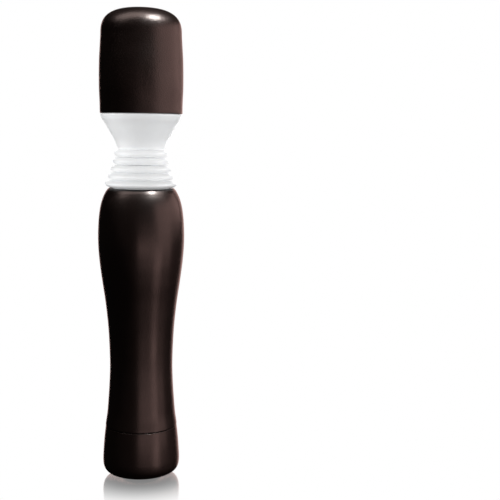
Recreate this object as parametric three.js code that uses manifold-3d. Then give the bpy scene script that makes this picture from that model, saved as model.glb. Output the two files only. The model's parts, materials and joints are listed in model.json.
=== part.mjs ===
// Battery-powered wand massager: a turning speed base, a long grip, a bending bellows neck
// and a domed head with a motor and an eccentric weight inside.
// Millimetres, +Z up. The origin is at the middle of the underside of the foot, on the axis
// that every piece shares while the neck is straight.

import * as THREE from 'three';
import { mergeVertices } from 'three/addons/utils/BufferGeometryUtils.js';
import Module from 'manifold-3d';

const wasm = await Module();
wasm.setup();

// ---------------------------------------------------------------- driving dimensions

// Heights, stacked from the table upwards
const BASE_HEIGHT = 22.9;
const HANDLE_LENGTH = 108.3;
const NECK_HEIGHT = 32.8;
const HEAD_HEIGHT = 45.7;

// Outline radii of the foot and the neck
const FOOT_RADIUS = 8.4;
const RIM_RADIUS = 14.8;
const THROAT_RADIUS = 10.2;

// How far the outline stands off what is inside it: the waist off the frame round the cell
// tube, the seam, base and belly off the waist, the head off the motor, the lip off the head
const WAIST_SPARE = 1.95;
const SEAM_FLARE = 2.05;
const DIAL_FLARE = 1.2;
const BELLY_SWELL = 5.1;
const HEAD_ROOM = 8.35;
const LIP_STEP = 0.5;

// Working gaps
const GAP = 0.3;
const SLIDE = 0.4;

// Dry cells, two in line
const CELL_RADIUS = 7.25;
const CELL_LENGTH = 50.5;
const CELL_BOTTOM = 14.3;

// Screw thread between the grip and the base
const THREAD_PITCH = 2.5;
const THREAD_DEPTH = 0.9;
const THREAD_RISE = 7;

// Walls
const TUBE_WALL = 0.9;
const NIPPLE_WALL = 1.6;
const COLLAR_WALL = 1.2;
const DIAL_FLOOR = 2;
const SKIN_WALL = 1.5;
const FRAME_WALL = 1.5;
const BELLOWS_WALL = 1.3;
const COVER_WALL = 1.7;

// Bought-in motor
const MOTOR_RADIUS = 10.2;
const MOTOR_HALF_THICKNESS = 7.7;
const MOTOR_LENGTH = 25;
const SHAFT_RADIUS = 1;
const SHAFT_REACH = 9.6;
const WEIGHT_RADIUS = 9.4;
const WEIGHT_HEIGHT = 7;

// Neck spring
const COIL_RADIUS = 5.6;
const COIL_WIRE = 0.7;

// Facets round the outer, the inner and the small turned pieces, and along one turn of thread
const ROUND = 24;
const INNER_ROUND = 20;
const SMALL_ROUND = 14;
const THREAD_STEPS = 14;
const COIL_STEPS = 8;

// ---------------------------------------------------------------- derived places

const HANDLE_TOP = BASE_HEIGHT + HANDLE_LENGTH;
const HEAD_BOTTOM = HANDLE_TOP + NECK_HEIGHT;
const TOTAL_HEIGHT = HEAD_BOTTOM + HEAD_HEIGHT;

const TUBE_INNER = CELL_RADIUS + SLIDE;
const TUBE_OUTER = TUBE_INNER + TUBE_WALL;
const CELLS_TOP = CELL_BOTTOM + 2 * CELL_LENGTH + GAP;
const TUBE_TOP = CELLS_TOP + 2.2;

const STRIP_THICKNESS = 0.4;
const STRIP_WIDTH = 3.4;
const NIPPLE_BORE = TUBE_OUTER + STRIP_THICKNESS + 2 * GAP + 0.2;
const NIPPLE_RADIUS = NIPPLE_BORE + NIPPLE_WALL;
const NIPPLE_BOTTOM = 12.4;
const NIPPLE_TOP = BASE_HEIGHT + 11;
const THREAD_START = NIPPLE_BOTTOM + 1;
const THREAD_TURNS = THREAD_RISE / THREAD_PITCH;
const COLLAR_BORE = NIPPLE_RADIUS + SLIDE;
const COLLAR_RADIUS = NIPPLE_RADIUS + THREAD_DEPTH + SLIDE + COLLAR_WALL;
const COLLAR_FLOOR = 7.4;
const COLLAR_SEAT = 9;
const COLLAR_TOP = BASE_HEIGHT - 1.8;
const DIAL_BORE = COLLAR_RADIUS + GAP;
const FOOT_PROUD = 1;

const FRAME_GAP = SKIN_WALL + GAP;
const WAIST_RADIUS = TUBE_OUTER + GAP + FRAME_WALL + FRAME_GAP + WAIST_SPARE;
const SEAM_RADIUS = WAIST_RADIUS + SEAM_FLARE;
const DIAL_RADIUS = SEAM_RADIUS + DIAL_FLARE;
const BELLY_RADIUS = WAIST_RADIUS + BELLY_SWELL;
const HEAD_RADIUS = MOTOR_RADIUS + HEAD_ROOM;
const LIP_RADIUS = HEAD_RADIUS - LIP_STEP;
const BELLY_Z = BASE_HEIGHT + 0.8 * HANDLE_LENGTH;
const WAIST_Z = BASE_HEIGHT + 0.24 * HANDLE_LENGTH;

const FOLD_PITCH = 0.102 * NECK_HEIGHT;
const FIRST_FOLD_Z = HANDLE_TOP + 0.058 * NECK_HEIGHT;
const FOLD_COUNT = 5;
const LIP_Z = HEAD_BOTTOM - GAP;
const STEM_RADIUS = RIM_RADIUS - 2.2;
const STEM_WALL = 1.6;
const SOCKET_RADIUS = STEM_RADIUS - STEM_WALL - GAP;

const COVER_BORE = HEAD_RADIUS - 0.55 - COVER_WALL;
const SPIGOT_RADIUS = COVER_BORE - GAP;
const SPIGOT_WALL = 1.5;
const SPIGOT_TOP = HEAD_BOTTOM + 4.2;
const BASE_PLATE_Z = HEAD_BOTTOM - 2;
const MOTOR_Z = HEAD_BOTTOM + 4.4;
const MOTOR_TOP = MOTOR_Z + MOTOR_LENGTH;
const WEIGHT_Z = MOTOR_TOP + 2.4;
const TERMINAL_Z = MOTOR_Z - 5;
const CAN_WALL = 0.9;
const HEAD_SCREW_HEAD = 1.7;
const HEAD_SCREW_REACH = MOTOR_RADIUS + HEAD_SCREW_HEAD;
const SCREW_CLEAR = BELLOWS_WALL + GAP + 0.9;
const COMMUTATOR_RADIUS = 2.6;

// ---------------------------------------------------------------- geometry helpers

/** Closed mesh with shared vertices, no collapsed faces, and its faces pointing out. */
function closed(geometry) {
  const bare = new THREE.BufferGeometry();
  bare.setAttribute('position', geometry.getAttribute('position').clone());
  if (geometry.index) bare.setIndex(geometry.index.clone());
  const merged = mergeVertices(bare, 1e-4);
  const source = merged.index.array;
  const at = merged.getAttribute('position');
  const corners = [0, 1, 2].map(() => new THREE.Vector3());
  const kept = [];
  let volume = 0;
  for (let i = 0; i < source.length; i += 3) {
    const [a, b, c] = [source[i], source[i + 1], source[i + 2]];
    if (a === b || b === c || c === a) continue;
    kept.push(a, b, c);
    [a, b, c].forEach((vertex, k) => corners[k].fromBufferAttribute(at, vertex));
    volume += corners[0].dot(corners[1].clone().cross(corners[2]));
  }
  if (volume < 0) kept.reverse();
  merged.setIndex(kept);
  return merged;
}

/** Solid for joining and cutting. */
function solid(geometry) {
  const mesh = closed(geometry);
  return new wasm.Manifold(new wasm.Mesh({
    numProp: 3,
    vertProperties: new Float32Array(mesh.getAttribute('position').array),
    triVerts: new Uint32Array(mesh.index.array),
  }));
}

/** Geometry of a joined or cut solid. */
function surface(body) {
  const mesh = body.getMesh();
  const geometry = new THREE.BufferGeometry();
  geometry.setAttribute('position', new THREE.BufferAttribute(new Float32Array(mesh.vertProperties), 3));
  geometry.setIndex(new THREE.BufferAttribute(new Uint32Array(mesh.triVerts), 1));
  return geometry;
}

/** The base geometry less every tool. */
function cut(base, ...tools) {
  return surface(tools.reduce((body, tool) => body.subtract(solid(tool)), solid(base)));
}

/** One geometry from several that share volume. */
function join(base, ...others) {
  return surface(others.reduce((body, other) => body.add(solid(other)), solid(base)));
}

/** The part of the base that lies inside the other. */
function common(base, other) {
  return surface(solid(base).intersect(solid(other)));
}

/** Outline of radius and height pairs, turned about Z. */
function turned(outline, facets = ROUND) {
  const ends = [outline[0], outline[outline.length - 1]];
  const onAxis = ends.every(([radius]) => radius === 0);
  const points = onAxis ? outline : [...outline, outline[0]];
  const profile = points.map(([radius, z]) => new THREE.Vector2(radius, z));
  return new THREE.LatheGeometry(profile, facets).rotateX(Math.PI / 2);
}

/** Ring or tube with square edges. */
function ring(inner, outer, bottom, top, facets = ROUND) {
  return turned([[inner, bottom], [outer, bottom], [outer, top], [inner, top]], facets);
}

/** Solid round bar along Z. */
function bar(radius, bottom, top, facets = SMALL_ROUND) {
  return turned([[0, bottom], [radius, bottom], [radius, top], [0, top]], facets);
}

/** Box from its centre and its size. */
function block(x, y, z, width, depth, height) {
  return new THREE.BoxGeometry(width, depth, height).translate(x, y, z);
}

/** Points at even steps along a smooth curve through radius and height stations. */
function smooth(stations, count) {
  const curve = new THREE.SplineCurve(stations.map(([radius, z]) => new THREE.Vector2(radius, z)));
  return curve.getSpacedPoints(count).map((point) => [point.x, point.y]);
}

/** Quarter of a superellipse from the side (radius, z) to the level (flat radius, z + rise). */
function corner(radius, flat, z, rise, power, count) {
  return Array.from({ length: count + 1 }, (_, i) => {
    const angle = (Math.PI / 2) * (i / count);
    const across = Math.cos(angle) ** (2 / power);
    const up = Math.sin(angle) ** (2 / power);
    return [flat + (radius - flat) * across, z + rise * up];
  });
}

/** An outline moved in or out by a change of radius. */
function offset(outline, change) {
  return outline.map(([radius, z]) => [radius + change, z]);
}

/** Outline of a wall between an outer and an inner edge, both listed from the bottom up. */
function wall(outer, inner) {
  return [...outer, ...[...inner].reverse()];
}

/** Right-handed helix about Z whose frames keep one side turned to the axis. */
class Helix extends THREE.Curve {
  constructor(radius, bottom, pitch, turns) {
    super();
    Object.assign(this, { radius, bottom, pitch, turns });
  }

  getPoint(t, target = new THREE.Vector3()) {
    const angle = 2 * Math.PI * this.turns * t;
    return target.set(
      this.radius * Math.cos(angle),
      this.radius * Math.sin(angle),
      this.bottom + this.pitch * this.turns * t,
    );
  }

  getPointAt(t, target) {
    return this.getPoint(t, target);
  }

  computeFrenetFrames(segments) {
    const frames = { tangents: [], normals: [], binormals: [] };
    for (let i = 0; i <= segments; i += 1) {
      const angle = (2 * Math.PI * this.turns * i) / segments;
      frames.tangents.push(new THREE.Vector3(-Math.sin(angle), Math.cos(angle), 0));
      frames.normals.push(new THREE.Vector3(Math.cos(angle), Math.sin(angle), 0));
      frames.binormals.push(new THREE.Vector3(0, 0, -1));
    }
    return frames;
  }
}

/** Helical ridge of trapezoid section: its root is on the helix and its crest is further out. */
function ridge(radius, bottom, turns, depth, rootHeight, crestHeight) {
  const sunk = 0.5;
  const section = new THREE.Shape([
    new THREE.Vector2(-sunk, -rootHeight / 2),
    new THREE.Vector2(0, -rootHeight / 2),
    new THREE.Vector2(depth, -crestHeight / 2),
    new THREE.Vector2(depth, crestHeight / 2),
    new THREE.Vector2(0, rootHeight / 2),
    new THREE.Vector2(-sunk, rootHeight / 2),
  ]);
  const path = new Helix(radius, bottom, THREAD_PITCH, turns);
  const steps = Math.ceil(turns * THREAD_STEPS);
  return new THREE.ExtrudeGeometry(section, { steps, bevelEnabled: false, extrudePath: path });
}

/** Round wire wound into a helix. */
function coil(radius, wire, bottom, pitch, turns) {
  const section = new THREE.Shape();
  section.absarc(0, 0, wire / 2, 0, 2 * Math.PI);
  const path = new Helix(radius, bottom, pitch, turns);
  return new THREE.ExtrudeGeometry(section, {
    steps: Math.ceil(turns * COIL_STEPS), curveSegments: 3, bevelEnabled: false, extrudePath: path,
  });
}

/** Flat outline in X and Y, raised between two heights. */
function raised(shape, bottom, top) {
  const depth = top - bottom;
  return new THREE.ExtrudeGeometry(shape, { depth, bevelEnabled: false, curveSegments: 6 })
    .translate(0, 0, bottom);
}

/** Sector of a ring between two radii, centred on an angle. */
function sector(inner, outer, centre, halfAngle) {
  const shape = new THREE.Shape();
  shape.absarc(0, 0, outer, centre - halfAngle, centre + halfAngle, false);
  shape.absarc(0, 0, inner, centre + halfAngle, centre - halfAngle, true);
  return shape;
}

/** Round outline with two flats across Y, as on the motor. */
function flattedRound(radius, halfThickness) {
  const flat = Math.asin(halfThickness / radius);
  const shape = new THREE.Shape();
  shape.absarc(0, 0, radius, -flat, flat, false);
  shape.absarc(0, 0, radius, Math.PI - flat, Math.PI + flat, false);
  return shape;
}

// ---------------------------------------------------------------- finishes

const FINISHES = {
  softTouch: { color: 0x2b2422, roughness: 0.5, metalness: 0 },
  satinSkin: { color: 0x241f1e, roughness: 0.35, metalness: 0 },
  rubber: { color: 0x1b1a1a, roughness: 0.8, metalness: 0 },
  neckSilicone: { color: 0xe4e3e1, roughness: 0.4, metalness: 0 },
  plasticDark: { color: 0x2e2e30, roughness: 0.5, metalness: 0 },
  plasticNatural: { color: 0xd9d5c8, roughness: 0.5, metalness: 0 },
  steel: { color: 0xb4b6b8, roughness: 0.3, metalness: 1 },
  magnet: { color: 0x3a3a3d, roughness: 0.6, metalness: 0.4 },
  brass: { color: 0xc9a35a, roughness: 0.3, metalness: 1 },
  copper: { color: 0xb5683c, roughness: 0.35, metalness: 1 },
  circuitBoard: { color: 0x2c5a3a, roughness: 0.55, metalness: 0 },
  cellJacket: { color: 0x9a9da3, roughness: 0.4, metalness: 0.5 },
  leadJacket: { color: 0xa5332b, roughness: 0.5, metalness: 0 },
};

const wand = new THREE.Group();

/** Adds one named piece with a material of its own. */
function piece(name, geometry, finish) {
  const shape = closed(geometry);
  shape.computeVertexNormals();
  const mesh = new THREE.Mesh(shape, new THREE.MeshStandardMaterial(FINISHES[finish]));
  mesh.name = name;
  wand.add(mesh);
}

/** Calls the maker with a suffix and a side of -1 or 1. */
function onBothSides(maker) {
  maker('left', -1);
  maker('right', 1);
}

// ---------------------------------------------------------------- outlines

const waistToBelly = (share) => WAIST_RADIUS + share * (BELLY_RADIUS - WAIST_RADIUS);
const bellyToRim = (share) => BELLY_RADIUS + share * (RIM_RADIUS - BELLY_RADIUS);
const riseFrom = (bottom, top, share) => bottom + share * (top - bottom);

/** Grip outline from the seam to just under the rim, in the given number of steps. */
const gripOutline = (count) => smooth([
  [SEAM_RADIUS, BASE_HEIGHT + GAP],
  [riseFrom(SEAM_RADIUS, WAIST_RADIUS, 0.62), riseFrom(BASE_HEIGHT, WAIST_Z, 0.45)],
  [WAIST_RADIUS, WAIST_Z],
  [waistToBelly(0.12), riseFrom(WAIST_Z, BELLY_Z, 0.24)],
  [waistToBelly(0.42), riseFrom(WAIST_Z, BELLY_Z, 0.53)],
  [waistToBelly(0.82), riseFrom(WAIST_Z, BELLY_Z, 0.78)],
  [BELLY_RADIUS, BELLY_Z],
  [bellyToRim(0.08), riseFrom(BELLY_Z, HANDLE_TOP, 0.42)],
  [bellyToRim(0.3), riseFrom(BELLY_Z, HANDLE_TOP, 0.7)],
  [bellyToRim(0.56), riseFrom(BELLY_Z, HANDLE_TOP, 0.85)],
], count);
const GRIP_OUTLINE = gripOutline(12);
const RIM_LIP_Z = HANDLE_TOP - 1.6;
const GRIP_LINING = [
  ...offset(gripOutline(8), -SKIN_WALL).filter(([, z]) => z < RIM_LIP_Z - 0.6),
  [RIM_RADIUS - 0.6, RIM_LIP_Z],
];

/** Head outline from the bottom edge to the top of the dome. */
const DOME_Z = HEAD_BOTTOM + 0.78 * HEAD_HEIGHT;
const DOME_RADIUS = HEAD_RADIUS - 1.2;
const DOME_POWER = 2.4;
const HEAD_SIDE = smooth([
  [HEAD_RADIUS - 0.35, HEAD_BOTTOM],
  [HEAD_RADIUS, HEAD_BOTTOM + 0.32 * HEAD_HEIGHT],
  [HEAD_RADIUS - 0.35, HEAD_BOTTOM + 0.56 * HEAD_HEIGHT],
  [DOME_RADIUS, DOME_Z],
], 4);

/** Heights and outer radii of the folds, from the grip upwards. */
const FOLDS = Array.from({ length: FOLD_COUNT }, (_, i) => {
  const fromTop = (FOLD_COUNT - 1 - i) / (FOLD_COUNT - 1);
  const spread = RIM_RADIUS - THROAT_RADIUS;
  return {
    z: FIRST_FOLD_Z + i * FOLD_PITCH,
    crest: THROAT_RADIUS + 1.4 + 0.88 * spread * fromTop ** 1.3,
    valley: THROAT_RADIUS + 0.45 * spread * fromTop ** 2,
  };
});

/** One fold as rising points on an ellipse between valley and crest, at shares of half a pitch. */
function foldOutline(fold, shares, inset) {
  const half = FOLD_PITCH / 2;
  const depth = (fold.crest - fold.valley) * (inset ? 0.7 : 1);
  return shares.map((share) => [
    fold.valley - inset + depth * Math.sqrt(1 - share ** 2),
    fold.z + share * half,
  ]);
}

/** Bellows wall over some of the folds. */
function foldWall(folds) {
  const outer = folds.flatMap((fold) => foldOutline(fold, [-0.9, -0.62, 0, 0.62, 0.9], 0));
  const inner = folds.flatMap((fold) => foldOutline(fold, [-0.9, 0, 0.9], BELLOWS_WALL));
  return [outer, inner];
}

// ---------------------------------------------------------------- base

const BOARD_Z = 5.2;
const BOARD_THICKNESS = 1;
const POST_RADIUS = 3;
const SCREW_HEAD = 2.6;

/** Threaded cup that screws onto the grip; the dial turns round it. */
function capCollar() {
  const cup = turned([
    [0, COLLAR_FLOOR - 2.6], [POST_RADIUS, COLLAR_FLOOR - 2.6], [POST_RADIUS, COLLAR_FLOOR],
    [COLLAR_RADIUS, COLLAR_FLOOR], [COLLAR_RADIUS, COLLAR_TOP], [COLLAR_BORE + 0.6, COLLAR_TOP],
    [COLLAR_BORE, COLLAR_TOP - 0.6], [COLLAR_BORE, COLLAR_SEAT], [0, COLLAR_SEAT],
  ], INNER_ROUND);
  const groove = ridge(
    COLLAR_BORE - 0.3, THREAD_START - THREAD_PITCH, THREAD_TURNS + 2, THREAD_DEPTH + 0.3, 1.9, 1.3,
  );
  const pilot = bar(0.9, COLLAR_FLOOR - 3, COLLAR_FLOOR + 0.8, 10);
  const wireHole = bar(1.6, COLLAR_FLOOR - 1, COLLAR_SEAT + 1, 10).translate(8.6, 0, 0);
  piece('cap_collar', cut(cup, groove, pilot, wireHole), 'plasticDark');
}

/** Dial shell: the outer wall of the base, rounded down to a nearly flat underside. */
function dialShell() {
  const side = smooth([
    [DIAL_RADIUS, 8], [DIAL_RADIUS - 0.38, 15], [SEAM_RADIUS, BASE_HEIGHT],
  ], 3);
  const rounded = corner(DIAL_RADIUS, FOOT_RADIUS + 1.1, 8, FOOT_PROUD - 8, 2.4, 6).slice(1).reverse();
  const floorTop = FOOT_PROUD + DIAL_FLOOR;
  const shell = turned([
    [SCREW_HEAD - 1, 1.6], [FOOT_RADIUS + GAP, 1.6], [FOOT_RADIUS + GAP, FOOT_PROUD],
    ...rounded, ...side,
    [DIAL_BORE, BASE_HEIGHT], [DIAL_BORE, COLLAR_FLOOR - 1.2], [DIAL_BORE - 1.4, floorTop],
    [SCREW_HEAD - 1, floorTop],
  ]);
  const headRoom = bar(SCREW_HEAD + GAP, 0, 1.6 + 0.5, 14);
  const wiperSlot = block(9.2, 0, floorTop, 3.6, 2.6, 1.2);
  piece('dial_shell', cut(shell, headRoom, wiperSlot), 'satinSkin');
}

/** Pieces that hold the dial on and close it underneath. */
function dialFittings() {
  piece('foot_pad', bar(FOOT_RADIUS, 0, 0.9, INNER_ROUND), 'rubber');
  const head = bar(SCREW_HEAD, 1.2, 1.8, 14);
  const shank = bar(0.85, 1.5, COLLAR_FLOOR + 0.5, 10);
  piece('dial_screw', join(head, shank), 'steel');
  const blade = new THREE.Shape([
    new THREE.Vector2(7.8, 2.7), new THREE.Vector2(10.6, 2.7), new THREE.Vector2(10.6, 3.1),
    new THREE.Vector2(8.6, 3.2), new THREE.Vector2(10.2, 4.9), new THREE.Vector2(9.7, 4.9),
    new THREE.Vector2(7.8, 3.2),
  ]);
  const wiper = new THREE.ExtrudeGeometry(blade, { depth: 1.8, bevelEnabled: false })
    .rotateX(Math.PI / 2).translate(0, 0.9, 0);
  piece('dial_wiper', wiper, 'brass');
}

/** Speed control under the collar, and the contacts and cells on top of it. */
function baseElectrics() {
  const rim = COLLAR_BORE - 0.2;
  const board = ring(POST_RADIUS + GAP, rim, BOARD_Z, BOARD_Z + BOARD_THICKNESS, INNER_ROUND);
  piece('speed_board', board, 'circuitBoard');
  const spacer = ring(rim - 2, rim, BOARD_Z + BOARD_THICKNESS + GAP, COLLAR_FLOOR - GAP, INNER_ROUND);
  piece('board_spacer', spacer, 'plasticNatural');
  const plateTop = COLLAR_SEAT + GAP + 0.5;
  piece('contact_plate', bar(TUBE_INNER - 1, COLLAR_SEAT + GAP, plateTop, INNER_ROUND), 'brass');
  const springRoom = CELL_BOTTOM - plateTop - 2 * GAP;
  const wire = 0.8;
  const turns = 3;
  const pitch = (springRoom - wire) / turns;
  piece('battery_spring', coil(4.6, wire, plateTop + GAP + wire / 2, pitch, turns), 'steel');
  const contactTop = NIPPLE_BOTTOM - 2 * GAP - STRIP_THICKNESS;
  const earth = ring(TUBE_OUTER - 0.3, COLLAR_BORE - GAP, contactTop - 1.6, contactTop, INNER_ROUND);
  piece('earth_ring', earth, 'brass');
}

/** A dry cell standing on its negative end. */
function cell(name, bottom) {
  const shoulder = bottom + CELL_LENGTH - 1.4;
  const body = turned([
    [0, bottom], [CELL_RADIUS - 0.7, bottom], [CELL_RADIUS, bottom + 0.7], [CELL_RADIUS, shoulder],
    [2.7, shoulder], [2.7, bottom + CELL_LENGTH], [0, bottom + CELL_LENGTH],
  ], INNER_ROUND);
  piece(name, body, 'cellJacket');
}

// ---------------------------------------------------------------- seal and grip

/** Soft ring that closes the seam between the base and the grip. */
function sealRing() {
  const wire = 0.72;
  const loop = Array.from({ length: 6 }, (_, i) => {
    const angle = (Math.PI / 3) * i;
    return [
      NIPPLE_RADIUS + GAP + wire + wire * Math.cos(angle),
      COLLAR_TOP + GAP + wire + wire * Math.sin(angle),
    ];
  });
  piece('seal_ring', turned(loop, INNER_ROUND), 'rubber');
}

/** Thin soft skin over the two halves of the grip. */
function gripSkin() {
  const outline = wall(
    [...GRIP_OUTLINE, [RIM_RADIUS + 0.6, HANDLE_TOP - 0.8], [RIM_RADIUS, HANDLE_TOP]],
    [...GRIP_LINING, [STEM_RADIUS + GAP, RIM_LIP_Z], [STEM_RADIUS + GAP, HANDLE_TOP]],
  );
  piece('grip_skin', turned(outline), 'satinSkin');
}

const RIB_HEIGHT = 1.6;
const RIB_SHARES = [0.27, 0.57, 0.82];
const BOSS_RADIUS = 2.4;
const BOSS_X = Math.max(TUBE_OUTER, SOCKET_RADIUS) + GAP + BOSS_RADIUS;
const BOSS_REACH = Math.sqrt((BELLY_RADIUS - FRAME_GAP) ** 2 - (BOSS_X + BOSS_RADIUS) ** 2) - 0.5;
const SCREW_RADIUS = 1;
const SCREW_HEAD_HEIGHT = 1.6;
const NIPPLE_GROOVE_Z = BASE_HEIGHT + 5;
const STEM_FLANGE_Z = HANDLE_TOP - 6.6;
const STEM_FLANGE = 2;
const FLANGE_REACH = 1.2;

/** Radius of a rising outline at a height. */
function radiusAt(outline, z) {
  const above = Math.max(1, outline.findIndex((point) => point[1] >= z));
  const [low, high] = [outline[above - 1], outline[above]];
  return riseFrom(low[0], high[0], (z - low[1]) / (high[1] - low[1]));
}

/** Stiff inner shell of the grip, whole; the two halves are cut from it. */
function gripFrame() {
  const outer = offset(GRIP_LINING, -GAP);
  const top = RIM_LIP_Z - GAP;
  outer[outer.length - 1][1] = top;
  const throat = STEM_RADIUS + GAP;
  const pocket = STEM_RADIUS + FLANGE_REACH + GAP;
  const pocketTop = STEM_FLANGE_Z + STEM_FLANGE + GAP;
  const inner = offset(outer, -FRAME_WALL).filter(([, z]) => z < STEM_FLANGE_Z - 4);
  const shell = turned(wall(outer, [
    ...inner, [pocket, STEM_FLANGE_Z - 2], [pocket, pocketTop], [throat, pocketTop], [throat, top],
  ]), INNER_ROUND);
  const ribs = RIB_SHARES.map((share) => {
    const z = riseFrom(BASE_HEIGHT, TUBE_TOP, share);
    const reach = Math.min(radiusAt(outer, z), radiusAt(outer, z + RIB_HEIGHT)) - 0.7;
    return ring(TUBE_OUTER + GAP, reach, z, z + RIB_HEIGHT, INNER_ROUND);
  });
  const captive = ring(
    NIPPLE_BORE + 0.8 + GAP, SEAM_RADIUS - FRAME_GAP - 1, NIPPLE_GROOVE_Z, NIPPLE_GROOVE_Z + RIB_HEIGHT,
    INNER_ROUND,
  );
  const ledge = ring(
    STEM_RADIUS - 1.4, radiusAt(outer, STEM_FLANGE_Z) - 0.7, STEM_FLANGE_Z - RIB_HEIGHT - GAP,
    STEM_FLANGE_Z - GAP, INNER_ROUND,
  );
  return join(shell, ...ribs, captive, ledge);
}

/** Bar along Y at a grip screw's place, between two depths behind the front. */
function crossBar(side, radius, front, back) {
  return bar(radius, -back, -front, 12).rotateX(Math.PI / 2).translate(side * BOSS_X, 0, BELLY_Z);
}

/** Front and back halves of the grip frame, with bosses, screw holes and the wiring slot. */
function gripHalves() {
  const bosses = [-1, 1].map((side) => crossBar(side, BOSS_RADIUS, -BOSS_REACH, BOSS_REACH));
  const headSeat = SCREW_HEAD_HEIGHT + GAP - BOSS_REACH;
  const tip = BOSS_REACH - 1.3;
  const whole = join(gripFrame(), ...bosses);
  const holes = [-1, 1].flatMap((side) => [
    crossBar(side, SCREW_RADIUS + GAP, -BOSS_REACH - 1, tip + GAP),
    crossBar(side, 2 * SCREW_RADIUS + GAP, -BELLY_RADIUS, headSeat),
  ]);
  const stripSlot = block(
    0, TUBE_OUTER, (BASE_HEIGHT + TUBE_TOP) / 2, STRIP_WIDTH + 1, 3, TUBE_TOP - BASE_HEIGHT + 4,
  );
  const keyRoom = block(0, 0, NIPPLE_GROOVE_Z + RIB_HEIGHT / 2, 2 * (NIPPLE_RADIUS + 1), 3, RIB_HEIGHT + 1);
  const shaped = cut(whole, ...holes, stripSlot, keyRoom);
  const half = (side) => block(0, side * (30 + GAP / 2), HANDLE_TOP / 2, 60, 60, 2 * HANDLE_TOP);
  piece('grip_frame_front', common(shaped, half(-1)), 'plasticDark');
  piece('grip_frame_back', common(shaped, half(1)), 'plasticDark');
  onBothSides((name, side) => {
    const head = crossBar(side, 2 * SCREW_RADIUS, -BOSS_REACH, -BOSS_REACH + SCREW_HEAD_HEIGHT);
    piece(`grip_screw_${name}`, join(head, crossBar(side, SCREW_RADIUS, -BOSS_REACH + 0.5, tip)), 'steel');
  });
}

/** Threaded nipple held in the bottom of the grip. */
function threadNipple() {
  const sleeve = turned([
    [NIPPLE_BORE, NIPPLE_BOTTOM], [NIPPLE_RADIUS - 0.4, NIPPLE_BOTTOM], [NIPPLE_RADIUS, NIPPLE_BOTTOM + 0.6],
    [NIPPLE_RADIUS, NIPPLE_GROOVE_Z - GAP], [NIPPLE_BORE + 0.8, NIPPLE_GROOVE_Z - GAP],
    [NIPPLE_BORE + 0.8, NIPPLE_GROOVE_Z + RIB_HEIGHT + GAP],
    [NIPPLE_RADIUS, NIPPLE_GROOVE_Z + RIB_HEIGHT + GAP], [NIPPLE_RADIUS, NIPPLE_TOP],
    [NIPPLE_BORE, NIPPLE_TOP],
  ], INNER_ROUND);
  const thread = ridge(NIPPLE_RADIUS, THREAD_START, THREAD_TURNS, THREAD_DEPTH - 0.1, 1.3, 0.7);
  const keys = [-1, 1].map((side) => block(
    side * (NIPPLE_BORE + 1), 0, NIPPLE_GROOVE_Z + RIB_HEIGHT / 2, 1.2, 2, RIB_HEIGHT + 1,
  ));
  piece('thread_nipple', join(sleeve, thread, ...keys), 'plasticDark');
}

/** Tube for the cells, with the contacts and the strip that brings the return up. */
function batteryTube() {
  const bottom = NIPPLE_BOTTOM + 1.4;
  const tube = turned([
    [TUBE_INNER, bottom], [TUBE_OUTER, bottom], [TUBE_OUTER, TUBE_TOP], [2.2, TUBE_TOP],
    [2.2, TUBE_TOP - 0.8], [TUBE_INNER, TUBE_TOP - 0.8],
  ], INNER_ROUND);
  piece('battery_tube', tube, 'plasticNatural');
  const button = turned([
    [0, CELLS_TOP + GAP], [2.4, CELLS_TOP + GAP], [3.6, CELLS_TOP + GAP + 0.5], [5.8, CELLS_TOP + GAP + 0.5],
    [5.8, CELLS_TOP + GAP + 0.9], [0, CELLS_TOP + GAP + 0.9],
  ], SMALL_ROUND);
  const tongueBottom = CELLS_TOP + GAP + 0.6;
  const tongueTop = TUBE_TOP + 2;
  const tongue = block(0, 0, (tongueBottom + tongueTop) / 2, 2.4, 0.5, tongueTop - tongueBottom);
  piece('positive_contact', join(button, tongue), 'brass');
  const stripX = TUBE_OUTER + GAP + STRIP_THICKNESS / 2;
  const footZ = NIPPLE_BOTTOM - GAP - STRIP_THICKNESS / 2;
  const upright = block(
    0, stripX, (footZ + TUBE_TOP + 1.4) / 2, STRIP_WIDTH, STRIP_THICKNESS, TUBE_TOP + 1.4 - footZ,
  );
  const foot = block(
    0, stripX + NIPPLE_WALL / 2, footZ, STRIP_WIDTH, STRIP_THICKNESS + NIPPLE_WALL, STRIP_THICKNESS,
  );
  piece('return_strip', join(upright, foot), 'brass');
}

const CARRIER_Z = TUBE_TOP + 2.6;

/** Disc above the tube where the contacts meet the motor lead. */
function leadCarrier() {
  const disc = turned([
    [0, CARRIER_Z], [TUBE_OUTER + 2.6, CARRIER_Z], [TUBE_OUTER + 2.6, CARRIER_Z + 1.6],
    [0, CARRIER_Z + 1.6],
  ], INNER_ROUND);
  const skirt = ring(TUBE_OUTER + 1.3, TUBE_OUTER + 2.6, TUBE_TOP - 2.4, CARRIER_Z + 0.5, INNER_ROUND);
  const leadHole = bar(1.9, CARRIER_Z - 1, CARRIER_Z + 3, 12);
  piece('lead_carrier', cut(join(disc, skirt), leadHole), 'plasticNatural');
}

// ---------------------------------------------------------------- neck

const SPLIT_LOW = FIRST_FOLD_Z + 1.5 * FOLD_PITCH;
const SPLIT_HIGH = SPLIT_LOW + FOLD_PITCH;
const NECK_TOP_PLUG_Z = SPLIT_HIGH + 2.9 * FOLD_PITCH;

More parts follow.
